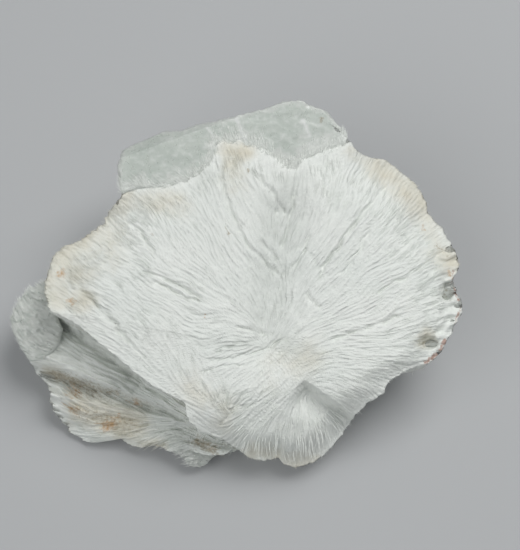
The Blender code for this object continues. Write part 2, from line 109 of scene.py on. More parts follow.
LOWER_LOOK = (11, 560, ((0, 0.5), (150, 1.2), (200, 1.2), (260, 0.5)), 3.4, 0.34)

# Relief of the broken face.
SPINE = ((0.0, 0.0), (3.4, 26.0))
SPINE_DEPTH, SPINE_WIDTH = 1.7, 5.0
DISH_MIDDLE, DISH_RISE, DISH_REACH = (0.0, 8.0), 1.2, 26.0
KNOBS_LEFT, KNOBS_TOP, KNOBS_BOTTOM, KNOB_SIZE, KNOB_HEIGHT = 31.5, 22.0, -4.0, 2.3, 0.7
FRONT_FALL, FRONT_START, FRONT_RUN, FRONT_SKEW = 6.6, 6.0, 19.0, 0.12
LEDGE_LEFT, LEDGE_RUN = -34.0, 26.0
NOTCH = ((8.2, -6.6), (17.4, -13.2))
NOTCH_DEPTH, NOTCH_LIP, NOTCH_FLOOR, NOTCH_RUN, NOTCH_END = 3.0, 1.4, 2.0, 6.5, 3.0
ROLL_START = 0.76
GRIT_SIZE, GRIT_HEIGHT = 0.5, 0.05
# The rag of a rim: the length of its teeth and how far they reach. It starts at a share of the way out.
RAG_COARSE, RAG_FINE, RAG_START = (1.5, 0.35), (0.6, 0.25), 0.9
# The middle of a face, where the fibres end on: how far out it reaches, its rolls and its knots.
MIDDLE_REACH, MIDDLE_ROLLS, MIDDLE_KNOTS = 0.55, 0.20, 0.14
SIDE_IN, SIDE_DOWN, SIDE_BUNDLES = 1.15, 0.9, 2.2
CORE_DEPTH, TUCK = -17.5, 0.05
# Lumps as size, height and seed: of a side, of a chip's face, and of the glassy pieces.
SIDE_LUMPS = ((5.0, 0.7, 33), (1.7, 0.35, 34), (0.8, 0.12, 35))
CHIP_LUMPS = ((3.0, 0.35, 31), (1.0, 0.12, 32))
HACKLE_LUMPS = ((1.8, 0.5, 54), (0.8, 0.25, 55))
CREASE_WANDER_SIZE, CREASE_WANDER = 1.9, 0.55
# Cracks of the face, each as the points it runs through, its depth and its half width.
CRACKS = (
    (((10.6, 14.5), (13.2, 19.2), (17.0, 24.1), (23.4, 31.8)), 0.9, 0.38),
    (((14.6, 14.6), (17.0, 17.2), (20.2, 23.2)), 0.6, 0.34),
    (((22.1, 11.0), (26.6, 13.6), (34.9, 19.0)), 0.9, 0.36),
    (((13.2, 1.7), (19.6, 3.6), (26.0, 6.2)), 0.7, 0.34),
    (((7.7, 10.6), (10.6, 8.1)), 0.8, 0.30),
    (((2.9, 20.2), (4.5, 25.0), (6.1, 33.7)), 0.8, 0.36),
    (((3.4, 27.4), (0.6, 31.6), (-2.8, 35.6)), 0.7, 0.34),
    (((3.2, 27.3), (1.6, 27.5)), 0.8, 0.32),
    (((3.2, 14.6), (6.6, 17.6), (8.6, 22.4)), 0.6, 0.34),
    (((-0.9, 20.9), (2.3, 17.7)), 0.5, 0.32),
    (((1.6, 15.2), (-4.2, 21.0), (-7.4, 28.0), (-10.6, 37.0)), 0.7, 0.42),
    (((-13.4, 10.2), (-19.8, 13.6), (-24.6, 15.2)), 0.8, 0.34),
    (((-13.8, 9.4), (-18.2, 11.0), (-22.7, 13.0)), 0.8, 0.34),
    (((-22.7, 19.6), (-25.4, 23.2), (-27.8, 25.2)), 0.6, 0.36),
    (((-6.0, 4.2), (1.0, 2.8)), 0.6, 0.32),
    (((-10.0, -0.4), (-4.8, 1.0)), 0.7, 0.32),
    (((-13.1, -4.7), (-12.8, -7.4), (-12.4, -9.8)), 0.5, 0.32),
    (((-12.4, -4.7), (-9.0, -3.6), (-4.8, -3.4)), 0.5, 0.32),
    (((-3.2, -7.6), (-5.4, -10.4), (-9.0, -15.4)), 0.6, 0.36),
    (((2.9, 1.7), (-1.0, -0.8), (-11.8, -2.8)), 0.5, 0.32),
    (((-38.0, 12.6), (-32.4, 7.2), (-27.8, 1.6)), 0.7, 0.40),
    (((-36.4, 11.2), (-31.2, 4.6), (-24.6, -2.0)), 0.5, 0.34),
)
# Ridges and grooves of the shelf, in the same way; a ridge has a depth below nothing.
SHELF_CREASES = (
    (((-43.0, 5.2), (-37.2, 3.0), (-26.0, -6.4)), 1.5, 1.1),
    (((-43.4, 6.6), (-37.6, 3.4)), -1.2, 0.45),
    (((-43.4, -3.2), (-39.2, -5.3), (-34.2, -6.5), (-28.8, -8.1)), -1.1, 0.7),
    (((-43.0, -5.8), (-37.0, -7.8), (-30.0, -9.2), (-22.0, -12.4)), 1.3, 1.3),
    (((-43.8, -9.2), (-38.0, -9.9), (-34.2, -10.2), (-28.8, -9.9)), -0.9, 0.8),
    (((-28.6, -14.0), (-23.6, -15.2), (-19.6, -14.6)), 0.8, 0.5),
    (((-38.0, -15.4), (-31.0, -13.6), (-24.0, -13.4)), 0.6, 0.6),
)
# How the fibres run in the face: a place and their angle there in degrees from the right.
FLOW = (
    (-8.6, 30.5, 106), (-4.8, 19.6, 123), (-0.3, 17.0, 130), (-2.2, 27.3, 122), (1.3, 30.5, 110),
    (5.5, 29.8, 74), (4.2, 22.8, 72), (9.0, 19.6, 54), (13.8, 19.6, 54), (19.6, 27.3, 55), (14.4, 32.4, 80),
    (8.0, 15.8, 50), (18.9, 15.8, 38), (26.0, 18.3, 44), (28.5, 15.1, 34), (17.0, 10.6, 35),
    (23.4, 6.2, 22), (17.0, 5.5, 24), (10.6, 4.2, 20), (29.8, 4.2, 14), (20.2, 0.4, 3), (26.6, -2.8, 172),
    (15.7, -6.0, 165), (13.2, -9.8, 147), (19.6, -8.6, 150), (6.1, -2.8, 30), (2.9, 0.4, 62),
    (1.6, 6.8, 88), (1.0, 10.6, 95), (4.8, 7.4, 58), (-3.5, 4.2, 155), (-7.3, -0.2, 20), (-11.2, -3.4, 18),
    (-2.2, -7.9, 42), (-0.3, -12.4, 38), (-6.0, -14.3, 24), (4.2, -9.8, 62), (10.6, -15.0, 130),
    (5.5, -17.5, 82), (8.0, -16.9, 108), (-12.4, -7.9, 102), (-15.0, 1.0, 108), (-21.4, 3.0, 128),
    (-31.6, 6.8, 137), (-26.5, 3.0, 134), (-18.8, 12.6, 160), (-24.0, 10.0, 155), (-24.6, 20.9, 132),
    (-18.8, 20.9, 126), (-14.4, 24.1, 120), (-12.4, 29.2, 124), (-8.6, 15.8, 132), (-6.0, 10.6, 145),
    (-13.7, 11.9, 148), (-32.3, 17.0, 152), (-38.7, 15.8, 140), (-37.4, 10.6, 140), (-31.0, 22.8, 145),
    (-22.7, -4.1, 142), (-17.6, -9.2, 140), (-13.1, -13.0, 150), (-8.6, 5.5, 4), (-15.0, 3.9, 176),
    (-3.5, -3.4, 20), (-17.6, -3.4, 118), (-9.2, -7.9, 110), (9.3, 26.0, 78), (22.1, 32.4, 60),
    (29.2, 26.0, 48), (33.0, 18.3, 35), (35.6, 11.9, 18), (-3.5, 39.4, 108), (4.2, 38.8, 95),
    (10.6, 40.1, 84), (-18.8, 29.8, 135), (-0.3, -19.4, 95), (23.4, 11.9, 30), (10.6, -2.8, 12),
    (-43.8, 1.0, 162), (-38.7, -2.8, 158), (-32.3, -4.7, 150), (-24.6, -9.8, 148), (-37.4, -7.9, 160),
    (-37.4, -13.0, 162), (-30.4, -15.0, 172), (-24.0, -15.6, 18), (-32.3, -18.2, 168), (-18.8, -17.5, 30),
    (-15.0, -15.6, 152), (-40.6, 6.5, 160), (-47.6, 6.8, 115), (-19.5, -12.4, 145), (-45.1, -3.4, 160),
    (-42.5, -12.4, 165),
)  # fmt: skip
FLOW_REACH = 5.0
FLOW_WANDER = ((7.0, 0.35, 61), (2.6, 0.22, 62))
# The sheet over which the fibres are combed: its near corner, its size and its step.
SHEET_CORNER, SHEET_SIZE, SHEET_STEP = (-52.0, -28.0), (96.0, 82.0), 0.2
COMB_STEP, COMB_STEPS = 0.45, 18
STRAND_WIDTH, STRAND_LENGTH = 0.42, 2.6
# The fibre bundles: their width, length and height.
BUNDLES = ((6.5, 7.5, 0.24), (3.2, 6.0, 0.12), (1.7, 4.2, 0.08), (0.95, 3.0, 0.06), (0.55, 2.2, 0.045))
# The seams between bundles: how far apart, how long and how deep.
SEAMS = ((9.0, 7.0, 0.34), (5.0, 5.5, 0.24), (2.8, 4.2, 0.16))
SEAM_WIDTH = 0.15
# The layers that broke off short: width, length and thickness.
SPLINTERS = ((4.5, 3.4, 0.08), (2.2, 2.6, 0.06), (1.2, 1.8, 0.045))
SIDE_STEP = 0.8
SIDE_CHIPS = (
    ((31.4, 4.0, -14.0), (0.84, -0.12, -0.52)),
    ((23.0, 30.0, -16.0), (0.58, 0.72, -0.38)),
    ((-31.0, 21.0, -15.0), (-0.66, 0.62, -0.42)),
    ((11.0, -15.0, -17.5), (0.35, -0.66, -0.66)),
    ((-22.3, 25.5, -19.2), (-0.55, 0.58, -0.6)),
    ((14.5, 30.0, -22.9), (0.5, 0.6, -0.62)),
    ((-1.1, 33.7, -23.0), (-0.12, 0.84, -0.53)),
)
PITS = (((36.0, 11.2), (1.2, 1.9), 2.6), ((32.2, 1.0), (2.0, 1.2), 2.4))

# Where the glassy pieces lie, and how deep the laumontite under each one is.
SLAB_RIM = (
    (16.3, 40.6), (16.0, 43.0), (13.8, 45.1), (12.1, 47.3), (8.1, 48.8), (7.1, 49.6), (3.4, 49.3),
    (-0.7, 47.8), (-5.8, 46.6), (-8.2, 46.0), (-10.5, 45.3), (-14.2, 44.8), (-16.6, 43.7),
    (-20.3, 43.5), (-24.6, 42.8), (-27.1, 41.0), (-28.8, 40.2), (-29.9, 36.5), (-29.9, 34.5),
    (-29.1, 30.6), (-25.1, 31.6), (-20.1, 31.6), (-15.8, 32.7), (-13.5, 34.4), (-10.9, 36.0),
    (-9.7, 38.4), (-9.3, 40.4), (-8.2, 40.7), (-4.2, 40.0), (-1.9, 39.2), (1.1, 37.3), (3.1, 35.7),
    (5.7, 34.8), (7.7, 37.0), (10.7, 38.4), (14.2, 39.4),
)  # fmt: skip
SLAB_SEAM = SLAB_RIM[19:] + SLAB_RIM[:1]
SLAB_TOP, SLAB_FLOOR, SLAB_BEVEL = 0.3, -12.4, 0.2
SLAB = "fluorapophyllite_slab"
# How the laumontite laps over the slab: how far above it, the share of its own relief that it keeps,
# the run to it and its fall for each mm inwards. It drops to the seat over SEAT_RUN.
LAP_ABOVE, LAP_KEPT, LAP_RUN, LAP_FALL, SEAT_RUN = 0.3, 0.25, 4.5, 0.4, 1.6
# White cracks in the slab: from, to and half width.
VEINS = (
    ((-6.2, 46.2), (-3.9, 40.4), 0.42), ((7.2, 45.6), (8.6, 42.4), 0.3),
    ((-12.0, 44.0), (-9.5, 41.0), 0.2),
)  # fmt: skip

# Stains as seen in the face: from, to, reach and strength of each stroke.
STAINS = {
    "cream": (
        ((-41.0, 18.0), (-36.0, 22.5), 3.4, 0.8), ((-43.0, 14.0), (-42.0, 10.0), 2.4, 0.6),
        ((-33.0, 23.0), (-29.0, 29.5), 3.4, 0.7), ((-38.0, 16.0), (-33.0, 18.0), 3.5, 0.5),
        ((-24.0, 30.0), (-18.0, 28.5), 2.6, 0.35), ((22.5, 36.5), (27.5, 33.0), 2.6, 0.8),
        ((27.5, 32.5), (31.5, 27.0), 2.8, 0.8), ((31.5, 27.0), (33.5, 22.0), 2.2, 0.6),
        ((34.0, 20.0), (36.8, 17.0), 2.2, 0.8), ((-8.4, 39.4), (-4.0, 39.0), 1.7, 1.0),
        ((-7.8, 36.6), (-6.0, 33.6), 2.6, 0.6), ((17.0, 38.6), (21.0, 36.4), 1.8, 0.5),
        ((-14.6, -8.0), (-9.0, -13.0), 3.6, 0.3), ((-2.6, -20.6), (2.0, -21.4), 1.6, 0.9),
        ((4.0, -22.8), (9.0, -22.6), 1.8, 0.7), ((32.0, 2.6), (31.0, 1.4), 1.4, 0.7),
        ((2.0, -4.0), (8.0, -2.0), 4.0, 0.25), ((-37.0, -12.6), (-27.0, -15.6), 3.0, 0.9),
        ((-25.0, -19.2), (-21.0, -19.2), 1.2, 0.6), ((-44.0, -4.4), (-42.0, -4.8), 1.0, 0.9),
        ((-37.4, 9.4), (-35.6, 9.2), 2.2, 0.6),
    ),
    # These greyish strokes are partly greyer laumontite and partly painted shade: under the ledge, on the
    # shelf and down the spine's valley.
    "grey_and_shade": (
        ((-42.0, 5.0), (-36.0, 1.0), 2.2, 0.7), ((-36.0, 1.0), (-28.0, -5.6), 1.2, 0.5),
        ((-26.0, -11.0), (-17.0, -16.0), 3.0, 0.3), ((0.5, 6.0), (4.5, 32.0), 4.5, 0.5),
        ((-6.0, 2.0), (8.0, -1.0), 3.0, 0.35),
        ((-21.0, -18.0), (-8.0, -19.6), 2.4, 0.7), ((-43.0, -6.2), (-30.0, -9.4), 1.6, 0.6),
        ((-14.6, 31.4), (-10.6, 35.0), 1.8, 0.5), ((-1.0, -19.6), (-4.0, -21.6), 1.4, 0.5),
    ),
    "rust": (
        ((-41.2, 14.9), (-41.2, 14.7), 1.0, 1.0), ((-39.2, 9.4), (-38.8, 9.5), 1.0, 0.8),
        ((31.2, 24.2), (31.2, 23.8), 0.7, 0.55), ((-12.5, 6.2), (-12.3, 6.7), 0.2, 1.0),
        ((-35.2, 19.4), (-34.6, 19.6), 0.5, 0.4), ((-38.6, -9.4), (-37.6, -8.6), 1.1, 0.8),
        ((-38.9, -12.2), (-37.9, -12.4), 0.9, 0.8), ((-32.2, -15.9), (-30.8, -15.2), 1.2, 1.0),
        ((-29.6, -13.2), (-29.5, -14.2), 0.5, 0.8), ((-26.4, -10.5), (-25.5, -11.4), 0.6, 0.8),
        ((-22.8, -19.6), (-22.0, -19.8), 0.5, 0.6), ((36.4, 15.2), (36.8, 14.2), 0.7, 0.6),
    ),
    "brown": (
        ((-42.4, -5.4), (-37.0, -7.4), 1.5, 0.9), ((-37.0, -7.6), (-34.0, -8.6), 2.0, 0.75),
        ((-34.0, -8.4), (-30.0, -9.0), 1.2, 0.7), ((-30.0, -9.0), (-22.0, -12.0), 1.0, 0.45),
        ((-37.0, -13.0), (-26.4, -15.4), 2.2, 0.55), ((-37.6, -9.6), (-31.0, -10.4), 1.2, 0.4),
        ((-13.9, -18.8), (-10.9, -20.2), 1.4, 0.9), ((-9.0, -19.4), (-5.0, -20.4), 0.8, 0.35),
        ((-7.8, 22.8), (-7.6, 22.9), 0.3, 1.0), ((-23.0, 22.8), (-22.9, 22.7), 0.3, 0.9),
        ((-3.8, 35.6), (-3.7, 35.4), 0.35, 1.0), ((11.0, 46.0), (10.8, 45.4), 0.5, 0.9),
        ((35.0, 12.0), (36.6, 9.6), 0.9, 0.45), ((31.0, 0.6), (33.6, 1.6), 0.9, 0.55),
        ((33.8, 20.6), (36.6, 18.2), 0.6, 0.5),
    ),
    "brick": (
        ((37.2, 15.6), (37.0, 12.4), 0.35, 0.8), ((37.4, 12.0), (38.8, 8.4), 0.32, 1.0),
        ((38.8, 8.4), (37.6, 5.0), 0.32, 0.9), ((35.6, 1.6), (34.4, -0.8), 0.5, 1.0),
        ((34.4, -0.8), (31.8, -2.9), 0.55, 1.0),
    ),
}

# A stain shows where its mask, pushed up so far, and its noise together pass the edge.
STAIN_PUSH, STAIN_EDGE = 0.42, 0.79
# WHITE_SHADE is painted shade: the darker white put in the low parts of the fine strands.
WHITE, WHITE_COOL, WHITE_SHADE = (0.82, 0.84, 0.80), (0.78, 0.81, 0.77), (0.70, 0.73, 0.69)
# The colour below is painted shade: a darker colour put in the grooves of the relief.
GROOVE_SHADE = (0.62, 0.66, 0.61)
# The second colour below is partly greyer laumontite and partly painted shade, under the ledge and on the
# shelf.
CREAM_COLOUR, GREY_AND_SHADE_COLOUR, BROWN_COLOUR = (0.66, 0.62, 0.50), (0.60, 0.63, 0.59), (0.35, 0.29, 0.19)
RUST_COLOUR, BRICK_COLOUR = (0.50, 0.30, 0.13), (0.33, 0.15, 0.10)
GLASS_GREEN, GLASS_MILK, GLASS_VEIL = (0.62, 0.68, 0.62), (0.72, 0.77, 0.71), (0.95, 0.97, 0.94)

# Needles laid on a piece: how many to the square metre, their length and width in mm, how far they
# lift and spread, and their seed.
NEEDLES = {
    "face_fibres": (1.2e6, 2.2, 0.18, 0.02, 0.08, 5),
    "edge_fibres": (9.0e6, 0.8, 0.09, 0.3, 0.35, 6),
    "shelf_fibres": (1.5e6, 2.6, 0.2, 0.03, 0.1, 7),
    "side_fibres": (1.2e6, 2.0, 0.26, 0.04, 0.12, 8),
    "feathers_slab": (1.3e7, 1.5, 0.14, 0.03, 0.16, 9),
    "feathers_corner": (2.6e7, 1.5, 0.14, 0.03, 0.16, 9),
    "feathers_foot": (4.0e6, 1.5, 0.14, 0.03, 0.16, 9),
}
# Where needles may lie: up to this share of the way out, this far outside the slab's outline on the
# face and on the side, this high above the table, and this far from the two smaller crystals.
NEEDLES_OUT, FACE_CLEAR, SIDE_CLEAR, TABLE_CLEAR, CRYSTAL_CLEAR = 0.9, 2.2, 1.0, 4.0, 0.5
# How furry the rim of the face is, by angle.
FUR = (
    (0, 0.1), (40, 0.2), (60, 0.3), (118, 0.3), (130, 1), (150, 1), (168, 1), (176, 0.25), (220, 0.2),
    (260, 0.3), (330, 0.2), (360, 0.1),
)  # fmt: skip
# Soft lights by name: place and size in metres, and power in watts.
LIGHTS = (("window", (0.21, 0.18, 0.56), 0.35, 2.4), ("fill", (-0.45, -0.35, 0.60), 0.8, 2.55))
FLOOR_REACH, FLOOR_COLOUR = 3, (0.45, 0.46, 0.465, 1.0)
SKY_COLOUR, SKY_STRENGTH = (0.93, 0.96, 1.0, 1.0), 0.22


def fade(x):
    """0 below 0 and 1 above 1, with a smooth rise between."""
    x = np.clip(x, 0.0, 1.0)
    return x * x * (3 - 2 * x)


def around(table, angle):
    """The value of an (angle, value) table at these angles in degrees, round the full circle."""
    angles, values = zip(*table)
    return np.interp(angle, angles, values, period=360)


def chance(x, y, seed):
    """A number from 0 to 1 that is the same each time for the same whole x and y."""
    mixed = np.sin(x * 127.1 + y * 311.7 + seed * 74.7) * 43758.5453
    return mixed - np.floor(mixed)


def grain(x, y, seed, period=4096):
    """Smooth noise from about -1 to 1, which repeats after period whole steps of x."""
    x0, y0 = np.floor(x), np.floor(y)
    total = np.zeros(np.broadcast(x, y).shape)
    for i in (x0, x0 + 1):
        for j in (y0, y0 + 1):
            turn = chance(i % period, j, seed) * 2 * math.pi
            slope = np.cos(turn) * (x - i) + np.sin(turn) * (y - j)
            total += slope * fade(1 - np.abs(x - i)) * fade(1 - np.abs(y - j))
    return total * 1.5


def lumps(p, size, seed):
    """Noise in space from about -1 to 1, for points p in mm and lumps of this size."""
    x, y, z = np.moveaxis(p / size, -1, 0)
    mixed = grain(x, y + 0.4 * z, seed) + grain(y, z - 0.4 * x, seed + 1) + grain(z, x + 0.4 * y, seed + 2)
    return mixed / 1.7


def rough(p, table):
    """The height of a table of lumps at points p in mm."""
    return sum(height * lumps(p, size, seed) for size, height, seed in table)


def stand(a, b, c):
    """Face coordinates in mm as x, y, z of the resting specimen, still in mm."""
    a = EYE_OVER[0] + (a - EYE_OVER[0]) * (1 - c / EYE_HEIGHT)
    b = EYE_OVER[1] + (b - EYE_OVER[1]) * (1 - c / EYE_HEIGHT)
    y = b * math.cos(FACE_TILT) - c * math.sin(FACE_TILT)
    z = b * math.sin(FACE_TILT) + c * math.cos(FACE_TILT)
    return np.stack(np.broadcast_arrays(a + SEAT[0], y + SEAT[1], z + SEAT[2]), axis=-1)


def facing(a, b, c):
    """A direction in the frame of the face as a direction of the resting specimen."""
    y = b * math.cos(FACE_TILT) - c * math.sin(FACE_TILT)
    z = b * math.sin(FACE_TILT) + c * math.cos(FACE_TILT)
    return np.array(np.broadcast_arrays(a, y, z))


def in_face(p):
    """The face coordinates of points of the resting specimen, in mm."""
    y, z = p[..., 1] - SEAT[1], p[..., 2] - SEAT[2]
    b = y * math.cos(FACE_TILT) + z * math.sin(FACE_TILT)
    c = z * math.cos(FACE_TILT) - y * math.sin(FACE_TILT)
    a = EYE_OVER[0] + (p[..., 0] - SEAT[0] - EYE_OVER[0]) / (1 - c / EYE_HEIGHT)
    b = EYE_OVER[1] + (b - EYE_OVER[1]) / (1 - c / EYE_HEIGHT)
    return a, b, c


def from_line(a, b, line):
    """Distance from a straight line between two points."""
    (a0, b0), (a1, b1) = line
    run = (a1 - a0) ** 2 + (b1 - b0) ** 2
    along = np.clip(((a - a0) * (a1 - a0) + (b - b0) * (b1 - b0)) / run, 0, 1)
    return np.hypot(a - a0 - along * (a1 - a0), b - b0 - along * (b1 - b0))


def within(a, b, outline):
    """How far inside a closed outline each point lies, negative outside it."""
    near = np.full(a.shape, 1e9)
    inside = np.zeros(a.shape, bool)
    for (a0, b0), (a1, b1) in zip(outline, outline[1:] + outline[:1]):
        near = np.minimum(near, from_line(a, b, ((a0, b0), (a1, b1))))
        if b0 != b1:
            crosses = (b0 > b) != (b1 > b)
            inside ^= crosses & (a < a0 + (b - b0) * (a1 - a0) / (b1 - b0))
    return np.where(inside, near, -near)


def closed_curve(points, count):
    """count points at equal steps along a smooth closed curve, and the curve's length."""
    p = np.array(points, float)
    before, after, next_one = np.roll(p, 1, 0), np.roll(p, -1, 0), np.roll(p, -2, 0)
    t = np.linspace(0, 1, 16, endpoint=False)[:, None, None]
    spread = 0.5 * (
        2 * p
        + (after - before) * t
        + (2 * before - 5 * p + 4 * after - next_one) * t**2
        + (3 * p - before - 3 * after + next_one) * t**3
    )
    fine = spread.transpose(1, 0, 2).reshape(-1, 2)
    fine = np.vstack([fine, fine[:1]])
    reach = np.concatenate([[0], np.cumsum(np.hypot(*np.diff(fine, axis=0).T))])
    at = np.linspace(0, reach[-1], count, endpoint=False)
    return np.interp(at, reach, fine[:, 0]), np.interp(at, reach, fine[:, 1]), reach[-1]


def stains(a, b):
    """The strength of each stain at points of the face, by name."""
    found = {}
    for name, strokes in STAINS.items():
        mask = np.zeros(a.shape)
        for start, end, reach, strength in strokes:
            away = from_line(a, b, (start, end)) / reach
            mask = np.maximum(mask, strength * np.exp(-(away**2)))
        found[name] = mask
    return found


def creases(a, b, table):
    """How far lines of a table lower the surface."""
    size = CREASE_WANDER_SIZE
    wander_a = grain(a / size, b / size, 71) * CREASE_WANDER
    wander_b = grain(a / size, b / size, 72) * CREASE_WANDER
    total = np.zeros(a.shape)
    for points, depth, half_width in table:
        away = np.full(a.shape, 1e9)
        for line in zip(points, points[1:]):
            away = np.minimum(away, from_line(a + wander_a, b + wander_b, line))
        uneven = 0.75 + 0.5 * grain(a / 2.6, b / 2.6, 73)
        total = total + depth * uneven * np.exp(-((away / half_width) ** 2))
    return total


def face_height(a, b):
    """The broken face: a shallow valley up its spine, a notch and a fall to the front."""
    from_middle = np.hypot(a - DISH_MIDDLE[0], b - DISH_MIDDLE[1])
    c = DISH_RISE * fade(from_middle / DISH_REACH)
    c = c - SPINE_DEPTH * np.exp(-((from_line(a, b, SPINE) / SPINE_WIDTH) ** 2))
    front = fade((FRONT_SKEW * a - b - FRONT_START) / FRONT_RUN)
    c = c - FRONT_FALL * front * fade((a - LEDGE_LEFT) / LEDGE_RUN)
    (a0, b0), (a1, b1) = NOTCH
    size = math.hypot(a1 - a0, b1 - b0)
    below = ((a - a0) * (b1 - b0) - (b - b0) * (a1 - a0)) / size
    past = ((a - a0) * (a1 - a0) + (b - b0) * (b1 - b0)) / size
    notch = fade(past / NOTCH_END + 0.5) * fade(below / NOTCH_LIP)
    c = c - NOTCH_DEPTH * notch * (1 - fade((below - NOTCH_FLOOR) / NOTCH_RUN))
    c = c - creases(a, b, CRACKS)
    for (a0, b0), (wide, high), depth in PITS:
        c = c - depth * np.exp(-((((a - a0) / wide) ** 2 + ((b - b0) / high) ** 2) ** 2))
    knobs = fade((a - KNOBS_LEFT) / 3) * fade((KNOBS_TOP - b) / 4) * fade((b - KNOBS_BOTTOM) / 3)
    round_top = 1 - np.abs(grain(a / KNOB_SIZE, b / KNOB_SIZE, 77)) * 2.4
    return c + knobs * round_top * KNOB_HEIGHT


def shelf_height(a, b):
    """The shelf under the ledge: a fan whose height depends on the angle round its centre."""
    run_a, run_b = a - LOWER_CENTRE[0], b - LOWER_CENTRE[1]
    at_rim = around(LOWER_HEIGHT, np.degrees(np.arctan2(run_b, run_a)))
    share = np.clip(np.hypot(run_a, run_b) / LOWER_REACH, 0, 1.1) ** LOWER_CURVE
    c = LOWER_CENTRE_HEIGHT + (at_rim - LOWER_CENTRE_HEIGHT) * share
    return c - creases(a, b, SHELF_CREASES)


def under_slab(a, b, c):
    """The face where the slab lies on it: it laps over the slab's edge, then drops to its seat."""
    deep = within(a, b, SLAB_RIM) + grain(a / 1.6, b / 1.6, 83) * 0.7
    lap = SLAB_TOP + LAP_ABOVE + (c - SLAB_TOP - LAP_ABOVE) * LAP_KEPT
    c = c + (lap - c) * fade((deep + LAP_RUN) / LAP_RUN)
    c = c - LAP_FALL * np.maximum(deep, 0)
    return c + (SLAB_FLOOR - c) * fade((deep - SEAT_RUN) / SEAT_RUN)


def ridges(noise, comb, seed):
    """Bundles, seams between them and broken layers: a combed noise of many sizes."""
    total = 0.0
    for order, (width, length, high) in enumerate(BUNDLES):
        total = total + (np.abs(comb(noise(width, seed + order), length)) * 1.8 - 0.6) * high
    for order, (width, length, deep) in enumerate(SEAMS):
        wave = comb(noise(width, seed + 10 + order), length)
        where = comb(noise(width * 1.4, seed + 15 + order), length)
        line = np.exp(-((wave * width / (2 * SEAM_WIDTH)) ** 2))
        total = total - deep * line * fade((where - 0.2) / 0.4)
    for order, (width, length, high) in enumerate(SPLINTERS):
        total = total + high * fade((comb(noise(width, seed + 20 + order), length) - 0.1) / 0.12)
    return total


def down_comb(field, length):
    """A field on the rings of a side, smoothed down the fibres and brought back to its strength."""
    rows = 2 * round(length / SIDE_STEP / 2) + 1
    weights = np.hanning(rows + 2)[1:-1]
    padded = np.pad(field, ((rows // 2, rows // 2), (0, 0)), mode="reflect")
    smooth = sum(weight * padded[i : i + len(field)] for i, weight in enumerate(weights))
    return 0.4 * smooth / np.sqrt(np.mean(smooth**2))


class FibreSheet:
    """Fields over the face that are combed the way its fibres run."""

    def __init__(self):
        self.shape = tuple(round(size / SHEET_STEP) for size in SHEET_SIZE)
        i, j = np.meshgrid(*(np.arange(count) for count in self.shape), indexing="ij")
        self.a, self.b = SHEET_CORNER[0] + i * SHEET_STEP, SHEET_CORNER[1] + j * SHEET_STEP
        twice_a = twice_b = 0.0
        for a, b, angle in FLOW:
            away = (self.a - a) ** 2 + (self.b - b) ** 2
            weight = np.exp(-away / FLOW_REACH**2) + 0.02 / (1 + away)
            twice_a = twice_a + weight * math.cos(math.radians(2 * angle))
            twice_b = twice_b + weight * math.sin(math.radians(2 * angle))
        turn = np.arctan2(twice_b, twice_a) / 2
        for size, swing, seed in FLOW_WANDER:
            turn = turn + grain(self.a / size, self.b / size, seed) * swing
        self.run_a, self.run_b = np.cos(turn), np.sin(turn)
        self.paths = [self.walk(1), self.walk(-1)]
        plain = ridges(lambda width, seed: grain(self.a / width, self.b / width, seed), self.comb, 3)
        self.relief = plain * (0.52 + 0.5 * grain(self.a / 8.0, self.b / 8.0, 63))
        fine = grain(self.a / STRAND_WIDTH, self.b / STRAND_WIDTH, 65)
        self.strand = self.comb(fine, STRAND_LENGTH)

    def walk(self, way):
        """The cells that lie along the fibre through each cell, step by step one way."""
        i = (self.a - SHEET_CORNER[0]) / SHEET_STEP
        j = (self.b - SHEET_CORNER[1]) / SHEET_STEP
        ahead_a, ahead_b = way * self.run_a, way * self.run_b
        found = []
        for _ in range(COMB_STEPS):
            i = np.clip(i + ahead_a * COMB_STEP / SHEET_STEP, 0, self.shape[0] - 1)
            j = np.clip(j + ahead_b * COMB_STEP / SHEET_STEP, 0, self.shape[1] - 1)
            cell = (np.rint(i).astype(int), np.rint(j).astype(int))
            found.append(cell)
            next_a, next_b = self.run_a[cell], self.run_b[cell]
            same = np.where(next_a * ahead_a + next_b * ahead_b < 0, -1, 1)
            ahead_a, ahead_b = same * next_a, same * next_b
        return found

    def comb(self, field, length):
        """A field smoothed along the fibres over this length, brought back to its strength."""
        smooth = field.copy()
        for path in self.paths:
            for step, cell in enumerate(path):
                weight = 0.5 + 0.5 * math.cos(math.pi * min((step + 1) * COMB_STEP / length, 1))
                if weight > 0:
                    smooth += weight * field[cell]
        return 0.4 * smooth / np.sqrt(np.mean(smooth**2))

    def at(self, field, a, b):
        """A field of the sheet read at points of the face."""
        i = np.clip((a - SHEET_CORNER[0]) / SHEET_STEP, 0, self.shape[0] - 1.001)
        j = np.clip((b - SHEET_CORNER[1]) / SHEET_STEP, 0, self.shape[1] - 1.001)
        i0, j0 = i.astype(int), j.astype(int)
        u, v = i - i0, j - j0
        low = field[i0, j0] * (1 - u) + field[i0 + 1, j0] * u
        high = field[i0, j0 + 1] * (1 - u) + field[i0 + 1, j0 + 1] * u
        return low * (1 - v) + high * v


